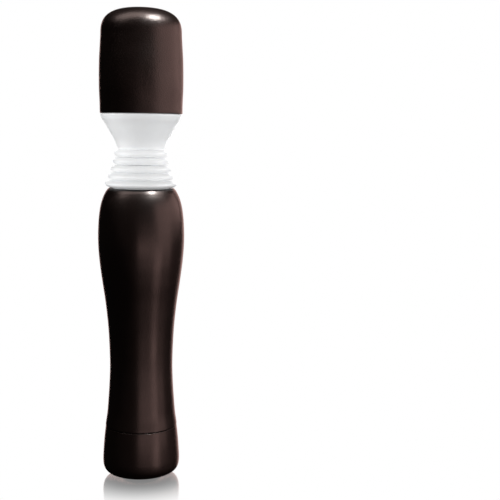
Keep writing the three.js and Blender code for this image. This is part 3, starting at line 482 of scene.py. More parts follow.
class SharedEffects:
    """Builds each shared node group once and hands it out."""

    def __init__(self) -> None:
        """Builds all the groups."""
        makers = {
            Shared.GRAIN: self._grain,
            Shared.TONE: self._tone,
            Shared.HANDLING: self._handling,
            Shared.STREAKS: self._streaks,
        }
        self.groups = {effect: maker(effect.value) for effect, maker in makers.items()}

    @staticmethod
    def _start(name: str, inputs: dict[str, tuple[str, object]], outputs: dict[str, str]
               ) -> tuple[bpy.types.NodeTree, NodeTree, bpy.types.Node, bpy.types.Node]:
        """Empty group with its sockets.

        Args:
            name: group name.
            inputs: socket type and first value of each input.
            outputs: socket type of each output.

        Returns:
            The group, its nodes helper, its input node and its output node.
        """
        group = bpy.data.node_groups.new(name, "ShaderNodeTree")
        for label, (kind, value) in inputs.items():
            socket = group.interface.new_socket(label, in_out="INPUT", socket_type=kind)
            if value is not None:
                socket.default_value = value
        for label, kind in outputs.items():
            group.interface.new_socket(label, in_out="OUTPUT", socket_type=kind)
        tree = NodeTree(group)
        return group, tree, tree.add("NodeGroupInput"), tree.add("NodeGroupOutput")

    def _grain(self, name: str) -> bpy.types.NodeTree:
        """Fine pebbled grain: rounded cells broken up by noise.

        Args:
            name: group name.

        Returns:
            The group.
        """
        group, tree, given, out = self._start(
            name,
            {"Vector": ("NodeSocketVector", None), "Scale": ("NodeSocketFloat", 2000.0)},
            {"Height": "NodeSocketFloat"},
        )
        cells = tree.add("ShaderNodeTexVoronoi", feature="SMOOTH_F1", Vector=given.outputs["Vector"])
        tree.link(given.outputs["Scale"], cells.inputs["Scale"])
        cells.inputs["Smoothness"].default_value = 0.4
        fine = tree.add("ShaderNodeTexNoise", Vector=given.outputs["Vector"], Detail=3.0)
        tree.link(tree.math("MULTIPLY", given.outputs["Scale"], 1.9), fine.inputs["Scale"])
        height = tree.math("ADD", tree.math("MULTIPLY", cells.outputs["Distance"], 0.8), fine.outputs["Fac"])
        tree.link(height, out.inputs["Height"])
        return group

    def _tone(self, name: str) -> bpy.types.NodeTree:
        """Slow drift between two colours, with a little fine mottling.

        Args:
            name: group name.

        Returns:
            The group.
        """
        group, tree, given, out = self._start(
            name,
            {
                "Vector": ("NodeSocketVector", None),
                "Scale": ("NodeSocketFloat", 60.0),
                "Dark": ("NodeSocketColor", (0.02, 0.02, 0.02, 1)),
                "Light": ("NodeSocketColor", (0.04, 0.04, 0.04, 1)),
            },
            {"Color": "NodeSocketColor"},
        )
        slow = tree.add("ShaderNodeTexNoise", Vector=given.outputs["Vector"], Detail=4.0)
        tree.link(given.outputs["Scale"], slow.inputs["Scale"])
        mix = tree.add("ShaderNodeMix", data_type="RGBA")
        tree.link(tree.ramp(slow.outputs["Fac"], 0.3, 0.7), mix.inputs["Factor"])
        tree.link(given.outputs["Dark"], mix.inputs[6])
        tree.link(given.outputs["Light"], mix.inputs[7])
        tree.link(mix.outputs[2], out.inputs["Color"])
        return group

    def _handling(self, name: str) -> bpy.types.NodeTree:
        """Roughness with the patches that hands leave: smoother smears on a duller ground.

        Args:
            name: group name.

        Returns:
            The group.
        """
        group, tree, given, out = self._start(
            name,
            {
                "Vector": ("NodeSocketVector", None),
                "Scale": ("NodeSocketFloat", 45.0),
                "Smooth": ("NodeSocketFloat", 0.4),
                "Dull": ("NodeSocketFloat", 0.5),
            },
            {"Roughness": "NodeSocketFloat"},
        )
        smear = tree.add("ShaderNodeTexNoise", Vector=given.outputs["Vector"], Detail=5.0, Distortion=0.8)
        tree.link(given.outputs["Scale"], smear.inputs["Scale"])
        mask = tree.ramp(smear.outputs["Fac"], 0.35, 0.65)
        roughness = tree.blend_value(mask, given.outputs["Smooth"], given.outputs["Dull"])
        tree.link(roughness, out.inputs["Roughness"])
        return group

    def _streaks(self, name: str) -> bpy.types.NodeTree:
        """Long fine lines, as drawing, turning or winding leaves.

        Args:
            name: group name.

        Returns:
            The group.
        """
        group, tree, given, out = self._start(
            name,
            {"Vector": ("NodeSocketVector", None), "Stretch": ("NodeSocketVector", (40.0, 40.0, 3000.0))},
            {"Height": "NodeSocketFloat"},
        )
        scaled = tree.add("ShaderNodeVectorMath", operation="MULTIPLY")
        tree.link(given.outputs["Vector"], scaled.inputs[0])
        tree.link(given.outputs["Stretch"], scaled.inputs[1])
        lines = tree.add("ShaderNodeTexNoise", Vector=scaled.outputs[0], Scale=1.0, Detail=3.0)
        tree.link(lines.outputs["Fac"], out.inputs["Height"])
        return group


# ---------------------------------------------------------------- finishes


class Surface(Enum):
    """What gives a finish its relief."""

    PEBBLED = "pebbled"
    STREAKED = "streaked"


@dataclass(frozen=True)
class Finish:
    """One finish: its colours, its gloss and its relief."""

    slot: str
    dark: Colour
    light: Colour
    smooth: float
    dull: float
    surface: Surface = Surface.PEBBLED
    grain_scale: float = 2600.0
    stretch: Colour = (60.0, 60.0, 4200.0)
    relief_mm: float = 0.02
    bump: float = 0.2
    metallic: float = 0.0
    specular: float = 0.5
    sheen: float = 0.0
    subsurface: float = 0.0
    coat: float = 0.0
    # painted light: emission in the finish's light colour, so the surface looks lit though it is no lamp
    glow: float = 0.0

    def build(self, effects: SharedEffects) -> bpy.types.Material:
        """Makes the material.

        Args:
            effects: the shared node groups.

        Returns:
            The material, on Object coordinates.
        """
        material = bpy.data.materials.new(self.slot)
        material.use_nodes = True
        material.node_tree.nodes.clear()
        tree = NodeTree(material.node_tree)
        out = tree.add("ShaderNodeOutputMaterial")
        shader = tree.add("ShaderNodeBsdfPrincipled")
        tree.link(shader.outputs[0], out.inputs["Surface"])
        place = tree.add("ShaderNodeTexCoord").outputs["Object"]
        tone = self._group(tree, effects, Shared.TONE, place)
        tone.inputs["Dark"].default_value = (*self.dark, 1)
        tone.inputs["Light"].default_value = (*self.light, 1)
        tree.link(self._colour(tree, place, tone.outputs["Color"]), shader.inputs["Base Color"])
        handled = self._group(tree, effects, Shared.HANDLING, place)
        handled.inputs["Smooth"].default_value = self.smooth
        handled.inputs["Dull"].default_value = self.dull
        tree.link(handled.outputs["Roughness"], shader.inputs["Roughness"])
        bump = tree.add("ShaderNodeBump", Strength=self.bump, Distance=self.relief_mm * MM)
        tree.link(self._relief(tree, effects, place), bump.inputs["Height"])
        tree.link(bump.outputs["Normal"], shader.inputs["Normal"])
        self._constants(shader)
        return material

    def _group(self, tree: NodeTree, effects: SharedEffects, effect: Shared, place: bpy.types.NodeSocket
               ) -> bpy.types.Node:
        """Places a shared group in the material.

        Args:
            tree: the material's nodes.
            effects: the shared node groups.
            effect: which of them.
            place: coordinates that it reads.

        Returns:
            The group's node.
        """
        node = tree.add("ShaderNodeGroup", node_tree=effects.groups[effect])
        tree.link(place, node.inputs["Vector"])
        return node

    def _colour(self, tree: NodeTree, place: bpy.types.NodeSocket, tone: bpy.types.NodeSocket
                ) -> bpy.types.NodeSocket:
        """Base colour, which is the drifting tone unless a finish adds to it."""
        return tone

    def _relief(self, tree: NodeTree, effects: SharedEffects, place: bpy.types.NodeSocket
                ) -> bpy.types.NodeSocket:
        """Height of the finish's own relief.

        Args:
            tree: the material's nodes.
            effects: the shared node groups.
            place: coordinates that the relief reads.

        Returns:
            The height.
        """
        if self.surface is Surface.STREAKED:
            node = self._group(tree, effects, Shared.STREAKS, place)
            node.inputs["Stretch"].default_value = self.stretch
        else:
            node = self._group(tree, effects, Shared.GRAIN, place)
            node.inputs["Scale"].default_value = self.grain_scale
        return node.outputs["Height"]

    def _constants(self, shader: bpy.types.Node) -> None:
        """Sets what is the same all over the surface.

        Args:
            shader: the material's shader.
        """
        shader.inputs["Metallic"].default_value = self.metallic
        shader.inputs["Specular IOR Level"].default_value = self.specular
        shader.inputs["Sheen Weight"].default_value = self.sheen
        shader.inputs["Sheen Roughness"].default_value = 0.45
        shader.inputs["Coat Weight"].default_value = self.coat
        shader.inputs["Coat Roughness"].default_value = 0.12
        shader.inputs["Subsurface Weight"].default_value = self.subsurface
        shader.inputs["Subsurface Radius"].default_value = (1.0, 0.96, 0.92)
        shader.inputs["Subsurface Scale"].default_value = 2.5 * MM
        # painted light: the light colour is emitted, which brightens the piece as if a lamp lit it
        if self.glow:
            shader.inputs["Emission Color"].default_value = (*self.light, 1)
            shader.inputs["Emission Strength"].default_value = self.glow


@dataclass(frozen=True)
class CellJacket(Finish):
    """Dry cell: a dark sleeve with a coppery shoulder."""

    length_mm: float = 50.5
    band_share: float = 0.70
    band_edge: float = 0.005
    copper: Colour = (0.42, 0.21, 0.1)

    def _colour(self, tree: NodeTree, place: bpy.types.NodeSocket, tone: bpy.types.NodeSocket
                ) -> bpy.types.NodeSocket:
        """Sleeve tone with a coppery band below the shoulder, by height within one cell.

        Args:
            tree: the material's nodes.
            place: Object coordinates.
            tone: colour of the sleeve.

        Returns:
            The colour.
        """
        lowest = node_span("battery_lower")[0] * MM
        step = node_span("battery_upper")[0] * MM - lowest
        axis = tree.add("ShaderNodeSeparateXYZ")
        tree.link(place, axis.inputs[0])
        height = tree.math("WRAP", tree.math("SUBTRACT", axis.outputs["Z"], lowest), step, 0.0)
        band_low = self.band_share * self.length_mm * MM
        band = tree.ramp(height, band_low, band_low + self.band_edge * self.length_mm * MM)
        mix = tree.add("ShaderNodeMix", data_type="RGBA")
        tree.link(band, mix.inputs["Factor"])
        tree.link(tone, mix.inputs[6])
        mix.inputs[7].default_value = (*self.copper, 1)
        return mix.outputs[2]


FINISHES: tuple[Finish, ...] = (
    Finish("head_soft_touch", (0.0040, 0.0027, 0.0025), (0.0060, 0.0040, 0.0037), 0.28, 0.33,
           grain_scale=2000, relief_mm=0.08, bump=0.7, specular=0.5),
    Finish("grip_skin", (0.0036, 0.0025, 0.0023), (0.0054, 0.0037, 0.0034), 0.29, 0.34,
           grain_scale=4200, relief_mm=0.012, bump=0.25, specular=0.5),
    Finish("dial_satin", (0.0044, 0.0030, 0.0028), (0.0064, 0.0045, 0.0041), 0.29, 0.34,
           grain_scale=4200, relief_mm=0.012, bump=0.25, specular=0.5),
    # the neck's painted glow is painted light: it emits its pale colour so the neck stays white on its shaded
    # side
    Finish("neck_silicone", (0.78, 0.785, 0.79), (0.84, 0.845, 0.85), 0.30, 0.40,
           grain_scale=1400, relief_mm=0.015, bump=0.2, subsurface=0.6, specular=0.45, glow=0.12),
    Finish("foot_rubber", (0.016, 0.015, 0.015), (0.026, 0.024, 0.024), 0.6, 0.75, relief_mm=0.05, bump=0.5),
    Finish("seal_rubber", (0.012, 0.012, 0.012), (0.02, 0.02, 0.02), 0.4, 0.55),
    Finish("plastic_dark", (0.024, 0.024, 0.026), (0.036, 0.036, 0.038), 0.45, 0.6,
           grain_scale=1500, relief_mm=0.04, bump=0.4),
    Finish("plastic_natural", (0.54, 0.51, 0.44), (0.66, 0.63, 0.56), 0.4, 0.55, subsurface=0.1),
    Finish("steel", (0.46, 0.47, 0.49), (0.62, 0.63, 0.65), 0.2, 0.34, Surface.STREAKED, metallic=1),
    Finish("magnet", (0.04, 0.04, 0.045), (0.075, 0.075, 0.08), 0.55, 0.7, relief_mm=0.05, bump=0.5),
    Finish("brass", (0.62, 0.42, 0.16), (0.76, 0.54, 0.24), 0.2, 0.36, Surface.STREAKED, metallic=1),
    Finish("copper", (0.5, 0.22, 0.1), (0.68, 0.34, 0.18), 0.25, 0.38, Surface.STREAKED,
           stretch=(300.0, 300.0, 9000.0), relief_mm=0.06, bump=0.6, metallic=1, coat=0.4),
    Finish("circuit_board", (0.02, 0.11, 0.045), (0.035, 0.16, 0.07), 0.28, 0.4, coat=0.3),
    CellJacket("cell_jacket", (0.035, 0.036, 0.04), (0.06, 0.062, 0.068), 0.22, 0.32, Surface.STREAKED,
               metallic=0.6, coat=0.5),
    Finish("lead_jacket", (0.34, 0.03, 0.025), (0.5, 0.06, 0.045), 0.42, 0.55, subsurface=0.05),
)


class Finishes:
    """All the materials, by the record's slot names."""

    def __init__(self, effects: SharedEffects) -> None:
        """Builds one material for each finish."""
        self.materials = {finish.slot: finish.build(effects) for finish in FINISHES}

    def dress(self, piece: bpy.types.Object, slot: str) -> None:
        """Gives a new piece a finish and says which slot it stands for.

        Args:
            piece: the piece.
            slot: material slot of the record.
        """
        piece.data.materials.clear()
        piece.data.materials.append(self.materials[slot])

    def dress_frame(self) -> None:
        """Gives every CAD node the finish of the slot that the record names for it."""
        named = {part["node"]: part["material_slot"] for part in frame["record"]["subparts"]}
        for node, piece in frame["nodes"].items():
            for holder in piece.material_slots:
                holder.link = "OBJECT"
                holder.material = self.materials[named[node]]
            LOG.info("dressed %s as %s", node, named[node])


# ---------------------------------------------------------------- assemblies


class Assembly:
    """A group of pieces that go together."""

    def __init__(self, finishes: Finishes) -> None:
        """Keeps the finishes that the pieces are dressed in."""
        self.finishes = finishes

    def fit(self, piece: bpy.types.Object, slot: str, body: str, *nodes: str) -> bpy.types.Object:
        """Dresses a piece, joins it to its body and hides the CAD nodes it stands for.

        Args:
            piece: the finished mesh object.
            slot: material slot of the record.
            body: body that carries it.
            nodes: CAD nodes that it replaces.

        Returns:
            The piece.
        """
        self.finishes.dress(piece, slot)
        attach(piece, body)
        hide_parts(*nodes)
        LOG.info("%s: %d faces on %s", piece.name, len(piece.data.polygons), body)
        return piece

    def fit_across(self, piece: bpy.types.Object, slot: str, bodies: tuple[str, str], low: float, high: float,
                   *nodes: str) -> bpy.types.Object:
        """Dresses a piece that lies between two bodies, bakes its place into its mesh and hides the CAD nodes
        it stands for; it joins neither body.

        Args:
            piece: the finished mesh object.
            slot: material slot of the record.
            bodies: the lower and the upper body.
            low: not used; the height below which the piece would follow the lower body, in millimetres.
            high: not used; the height above which the piece would follow the upper body.
            nodes: CAD nodes that it replaces.

        Returns:
            The piece.
        """
        self.finishes.dress(piece, slot)
        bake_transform(piece)
        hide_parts(*nodes)
        LOG.info("%s: %d faces from %s to %s", piece.name, len(piece.data.polygons), *bodies)
        return piece


@dataclass
class HeadShape:
    """Sizes of the domed cover, in millimetres.

    The side's stations are shares of the height and distances inside the largest radius.
    """

    wall: float = 1.7
    side: tuple[tuple[float, float], ...] = (
        (0.09, 0.29), (0.25, 0.02), (0.38, 0.01), (0.53, 0.16), (0.64, 0.47),
    )
    mouth_inset: float = 0.35
    mouth_ease: float = 0.45
    mouth_land: float = 0.2
    mouth_chamfer: float = 0.05
    mouth_depth: float = 6.0
    dome_inset: float = 0.75
    dome_height: float = 11.6
    dome_power: float = 2.8
    dome_step: float = 2.0


class Head(Assembly):
    """The domed cover."""

    shape = HeadShape()

    def build(self) -> None:
        """Builds the cover as one closed shell, outside surface first."""
        s = self.shape
        low, high, radius = node_span("head_cover")
        height = high - low
        foot = (radius - s.dome_inset, high - s.dome_height)
        mouth = radius - s.mouth_inset
        stations = [(radius - inset, low + share * height) for share, inset in s.side]
        side = spline([(mouth, low + s.mouth_ease), *stations, foot], 60)
        dome = rounded(foot, (0, high), s.dome_power, 48)
        room = rounded((foot[0] - s.wall, foot[1]), (0, high - s.wall), s.dome_power, 24)
        bore = mouth - s.mouth_land - s.wall
        lip = softened([
            (bore, low + s.mouth_depth), (bore, low), (mouth - s.mouth_chamfer, low),
            (mouth, low + s.mouth_ease),
        ], s.mouth_ease, 6)
        inside = [(foot[0] - s.wall, foot[1] - s.dome_step), (bore, low + s.mouth_depth)]
        outline = joined(room[::-1], inside, lip[1:], side, dome)
        cover = turned("head_cover_shell", outline, LARGE_ROUND)
        self.fit(cover, "head_soft_touch", "head", "head_cover")


@dataclass
class NeckShape:
    """Sizes of the bellows moulding and of what runs inside it, in millimetres.

    The funnel's stations are shares of its reach outwards and of its rise.
    """

    folds: int = 5
    lower_folds: int = 3
    pitch: float = 3.35
    first_over_rim: float = 1.9
    top_crest: float = 12.0
    crest_growth: float = 4.05
    crest_power: float = 1.3
    throat: float = 9.6
    valley_growth: float = 2.3
    fatness: float = 0.42
    inside_fatness: float = 1.6
    crest_wall: float = 0.5
    wall: float = 1.2
    edge_crowding: float = 0.75
    stem: float = 12.55
    stem_wall: float = 1.6
    flange: float = 1.15
    flange_height: float = 2.0
    stem_ease: float = 0.3
    stem_depth: float = 2.0
    roll: tuple[float, float] = (0.2, 0.12)
    rim_gap: float = 0.2
    inside_start: float = 0.6
    piece_gap: float = 0.02
    throat_waist: float = 10.2
    funnel: tuple[tuple[float, float], ...] = (
        (0.05, 0.08), (0.16, 0.24), (0.32, 0.40), (0.52, 0.58), (0.72, 0.76), (0.90, 0.90), (0.99, 1.0),
    )
    lining_rise: float = 0.45
    lip_height: float = 0.7
    lip_step: float = 0.25
    lip_gap: float = 0.25
    lip_wall: float = 0.8
    lip_ease: float = 0.28
    spigot_inset: float = 1.95
    spigot_wall: float = 1.5
    wire: float = 0.7
    coil: float = 5.6
    coil_pitch: float = 2.4
    core: float = 0.56
    core_spread: float = 1.06
    core_fullness: float = 0.24
    bend_gap: float = 0.1
    upper_bend: float = 14.5


class NeckHalf(Enum):
    """The two lengths of the neck, each with the bodies that it bends between."""

    LOWER = ("handle", "neck_middle")
    UPPER = ("neck_middle", "head")

    @property
    def word(self) -> str:
        """The half's name inside piece and node names."""
        return self.name.lower()


class Neck(Assembly):
    """Bellows in two pieces that share a valley, with the coil and the lead inside."""

    shape = NeckShape()

    def __init__(self, finishes: Finishes) -> None:
        """Works out the places of the folds from the grip's rim.

        Args:
            finishes: the finishes that the pieces are dressed in.
        """
        super().__init__(finishes)
        self.rim = node_span("grip_skin")[1]
        self.first = self.rim + self.shape.first_over_rim
        self.split = self.first + (self.shape.lower_folds - 0.5) * self.shape.pitch

    def fold_surface(self, first: int, last: int, steps: int = 26) -> tuple[np.ndarray, np.ndarray]:
        """Outside and inside of a run of folds.

        With u running from -1 to 1 over one fold, the outside stands off its valley by the fold's
        reach times cos(u quarter turn) to a small power, which makes fat discs with narrow gaps. The
        inside uses a larger power and stands one wall further in.

        Args:
            first: lowest fold, counted from nought.
            last: one past the highest.
            steps: steps over one fold.

        Returns:
            The outer and the inner stretch, both upwards.
        """
        s = self.shape
        u = np.linspace(-1, 1, steps + 1)
        # more steps where the disc turns over its edge
        u = np.sign(u) * np.abs(u) ** s.edge_crowding
        fold = np.arange(first, last)[:, None]
        share = 1 - fold / (s.folds - 1)
        half = 0.5 / (s.folds - 1)
        crest = s.top_crest + s.crest_growth * np.clip(share, 0, 1) ** s.crest_power
        edge = np.where(u[None] < 0, share + half, share - half)
        valley = s.throat + s.valley_growth * np.clip(edge, 0, 2) ** 2
        wave = np.abs(np.cos(u * math.pi / 2))[None]
        z = self.first + s.pitch * (fold + u[None] / 2)
        outer = valley + (crest - valley) * wave**s.fatness
        inner = valley - s.wall + (crest - valley - s.crest_wall) * wave**s.inside_fatness
        return tuple(np.stack([r, z], axis=-1).reshape(-1, 2) for r in (outer, inner))

    def bend_span(self, half: NeckHalf) -> tuple[float, float]:
        """Heights between which a half of the neck bends.

        Args:
            half: the lower or the upper half.

        Returns:
            The lower and the higher height, in millimetres.
        """
        s = self.shape
        if half is NeckHalf.LOWER:
            return self.rim, self.split - s.bend_gap
        return self.split + s.bend_gap, self.split + s.upper_bend

    def fit_half(self, piece: bpy.types.Object, slot: str, half: NeckHalf, *nodes: str) -> None:
        """Fits a piece that belongs to one half of the neck.

        Args:
            piece: the finished mesh object.
            slot: material slot of the record.
            half: the lower or the upper half.
            nodes: CAD nodes that it replaces.
        """
        self.fit_across(piece, slot, half.value, *self.bend_span(half), *nodes)

    def build(self) -> None:
        """Builds the lower and the upper piece and what runs inside them."""
        self.build_lower()
        self.build_upper()
        for half in NeckHalf:
            self.build_coil(half)
        for half in NeckHalf:
            self.build_lead(half)

    def build_lower(self) -> None:
        """Stem that the grip holds, the rim's roll and the three widest folds."""
        s = self.shape
        bottom = node_span("neck_lower_folds")[0]
        outer, inner = self.fold_surface(0, s.lower_folds)
        shelf = bottom + s.flange_height
        bore, flange = s.stem - s.stem_wall, s.stem + s.flange
        foot = softened([
            (bore, self.rim - s.stem_depth), (bore, bottom), (flange, bottom), (flange, shelf),
            (s.stem, shelf), (s.stem, self.rim - s.rim_gap), (outer[0, 0] + s.roll[0], self.rim + s.roll[1]),
        ], s.stem_ease)
        top = self.split - s.piece_gap
        outside = outer[(outer[:, 1] > self.rim + s.rim_gap) & (outer[:, 1] < top)]
        inside = inner[(inner[:, 1] > self.rim + s.inside_start) & (inner[:, 1] < top)]
        piece = turned("neck_bellows_lower", joined(foot, outside, inside[::-1]), NECK_ROUND)
        self.fit_half(piece, "neck_silicone", NeckHalf.LOWER, "neck_lower_folds", "neck_middle_fold")

    def build_upper(self) -> None:
        """Two smallest folds, the flared funnel, its lip and the spigot inside the head."""
        s = self.shape
        _, top, lip = node_span("neck_upper_sleeve")
        outer, inner = self.fold_surface(s.lower_folds, s.folds)
        lip_top = node_span("head_cover")[0] - s.lip_gap
        start = outer[-1, 1]
        rise = lip_top - s.lip_height - start
        reach = lip - s.throat_waist
        funnel = spline([(s.throat_waist + reach * out, start + rise * up) for out, up in s.funnel], 44)
        edge = funnel[-1, 1]
        spigot = lip - s.spigot_inset
        bore = spigot - s.spigot_wall
        rim = softened([
            tuple(funnel[-1]), (lip, edge + s.lip_step), (lip, lip_top), (spigot, lip_top), (spigot, top),
            (bore, top), (bore, lip_top - s.lip_wall),
        ], s.lip_ease)
        # the lining starts a little below the lip, where the spigot's wall ends
        lining = (funnel[::-1] - [s.wall, -s.lining_rise])[4:]
        bottom = self.split + s.piece_gap
        outside, inside = outer[outer[:, 1] > bottom], inner[inner[:, 1] > bottom]
        outline = joined(outside, funnel, rim, lining, inside[::-1])
        piece = turned("neck_bellows_upper", outline, NECK_ROUND)
        self.fit_half(piece, "neck_silicone", NeckHalf.UPPER, "neck_upper_sleeve")

    def build_coil(self, half: NeckHalf) -> None:
        """Length of the coil that stiffens one half of the neck.

        Args:
            half: the lower or the upper half.
        """
        s = self.shape
        node = f"neck_spring_{half.word}"
        low, high, _ = node_span(node)
        turns = max(3, round((high - low) / s.coil_pitch))
        piece = coiled(f"neck_coil_{half.word}", low, high, s.coil, s.coil, s.wire, turns)
        self.fit_half(piece, "steel", half, node)

    def build_lead(self, half: NeckHalf) -> None:
        """Flat twin lead: two cores side by side in one jacket, straight up the middle.

        The section's radius at angle a is core + spread cos(a)^2 + fullness sin(2a)^2.

        Args:
            half: the lower or the upper half.
        """
        s = self.shape
        a = np.linspace(0, FULL_TURN, 40, endpoint=False)
        radius = s.core + s.core_spread * np.cos(a) ** 2 + s.core_fullness * np.sin(2 * a) ** 2
        section = np.stack([radius * np.cos(a), radius * np.sin(a)], axis=1)
        node = f"motor_lead_{half.word}"
        low, high, _ = node_span(node)
        z = np.linspace(low, high, 60)
        path = np.stack([0 * z, 0 * z, z], axis=1)
        piece = swept(f"twin_lead_{half.word}", path, section, np.tile([1.0, 0, 0], (len(z), 1)))
        self.fit_half(piece, "lead_jacket", half, node)


@dataclass
class GripShape:
    """Outline of the grip in millimetres.

    The stations are shares of the height and distances outside the waist. The rim's roll goes
    outwards from the rim and upwards from the top.
    """

    waist: float = 14.12
    wall: float = 1.5
    stations: tuple[tuple[float, float], ...] = (
        (0.004, 2.03), (0.05, 1.30), (0.11, 0.76), (0.18, 0.27), (0.25, 0.0), (0.33, 0.18), (0.42, 0.72),
        (0.53, 1.98), (0.62, 3.40), (0.70, 4.50), (0.77, 5.05), (0.84, 4.98), (0.885, 4.62), (0.93, 3.85),
        (0.965, 2.66), (0.985, 1.62),
    )
    rim: float = 14.62
    rim_roll: tuple[tuple[float, float], ...] = ((0.35, -0.55), (-0.3, 0.0))
    rim_ease: float = 0.5
    lining_rise: float = 1.2
    throat: float = 13.0
    throat_depth: float = 1.6
    lip_depth: float = 2.0
    seam_ease: float = 0.3
    seam_land: float = 0.02


@dataclass
class NippleShape:
    """Sizes of the threaded nipple, in millimetres."""

    wall: float = 2.4
    depth: float = 0.8
    ridge: float = 0.78
    ridge_share: float = 0.42
    ease: float = 0.4
    chamfer: float = 0.5
    foot: float = 0.6
    first_turn: float = 0.9
    start: float = 1.0


def collar_bore() -> float:
    """Radius of the collar's bore: the nipple's core and a gap, in millimetres."""
    return node_span("thread_nipple")[2] - NippleShape.depth + NippleShape.ease


class Grip(Assembly):
    """The long skin that the hand holds, and its threaded nipple."""

    shape = GripShape()
    nipple = NippleShape()

    def build(self) -> None:
        """Builds the skin and the nipple."""
        self.build_skin()
        self.build_nipple()

    def build_skin(self) -> None:
        """One closed shell with an eased seam edge and a rolled rim."""
        s = self.shape
        low, high, _ = node_span("grip_skin")
        height = high - low
        side = spline([(s.waist + off, low + share * height) for share, off in s.stations], 150)
        side[0, 1] = low + s.seam_ease
        inner_low = side[0, 0] - s.wall
        seam = softened([
            (inner_low, low + s.lip_depth), (inner_low, low), (side[0, 0] - s.seam_land, low), tuple(side[0]),
        ], s.seam_ease, 5)
        # the lining leaves room for the seam's lip below and for the rim above
        lining = side[6:-10:3] - [s.wall, 0]
        roll = [(s.rim + out, high + up) for out, up in s.rim_roll]
        rim = softened([
            tuple(side[-1]), *roll, (s.throat, high), (s.throat, high - s.throat_depth),
            tuple(lining[-1] + [0, s.lining_rise]),
        ], s.rim_ease, 5)
        outline = joined(side, rim[1:], lining[::-1], seam)
        piece = turned("grip_sleeve", outline, LARGE_ROUND)
        self.fit(piece, "grip_skin", "handle", "grip_skin")

    def build_nipple(self) -> None:
        """Threaded nipple under the grip: a sleeve with one helical ridge."""
        n = self.nipple
        low, high, crest = node_span("thread_nipple")
        collar_top = node_span("cap_collar")[1]
        bore, core = crest - n.wall, crest - n.depth
        heights = np.linspace(low + n.foot, collar_top + n.ease, THREAD_ROWS)
        wall = np.stack([np.full(len(heights), core), heights], axis=1)
        outline = joined([(bore, high), (bore, low), (core - n.ease, low)], wall,
                         [(core, high - n.chamfer), (core - n.ease, high)])
        thread = thread_relief(low + n.first_turn, collar_top - n.first_turn, THREAD_PITCH, low + n.start,
                               n.ridge, n.ridge_share)

        def outside(radii: np.ndarray, heights: np.ndarray, angles: np.ndarray) -> np.ndarray:
            """The ridge, on the outer wall alone."""
            return np.where(radii > core - n.ease / 2, thread(radii, heights, angles), 0)

        piece = turned("grip_thread", outline, SMALL_ROUND, outside)
        self.fit(piece, "plastic_dark", "handle", "thread_nipple")


@dataclass
class BaseShape:
    """Sizes of the turning base's shell, in millimetres.

    The side's stations are heights above the underside and distances inside the largest radius.
    """

    corner_height: float = 7.0
    corner_power: float = 3.3
    corner_inset: float = 1.1
    side: tuple[tuple[float, float], ...] = ((9.4, 0.12), (14.1, 0.43), (18.6, 0.86))
    seam_radius: float = 16.13
    seam_ease: float = 0.35
    seam_land: float = 0.03
    seam_depth: float = 3.0
    collar_gap: float = 0.3
    inside_corner: tuple[float, float] = (1.4, 5.2)
    floor: float = 2.0
    foot_gap: float = 0.3
    foot_recess: float = 0.6
    edge_ease: tuple[float, float] = (0.25, 0.12)
    screw_hole: float = 1.6
    screw_seat: tuple[float, float] = (2.9, 1.1)


@dataclass
class FootShape:
    """Sizes of the rubber foot's rings and edge, in millimetres."""

    rings: int = 4
    ring_depth: float = 0.16
    centre_depth: float = 0.05
    middle: float = 0.4
    edge: float = 0.5
    ease: float = 0.35


@dataclass
class CollarShape:
    """Sizes of the cup with the female thread, in millimetres."""

    boss: float = 3.0
    boss_height: float = 2.6
    seat: float = 4.2
    ease: float = 0.3
    mouth: float = 0.7
    step: float = 0.2
    groove: float = 0.92
    groove_share: float = 0.56
    first_turn: float = 0.6
    overrun: float = 3.0
    wall_band: float = 0.15


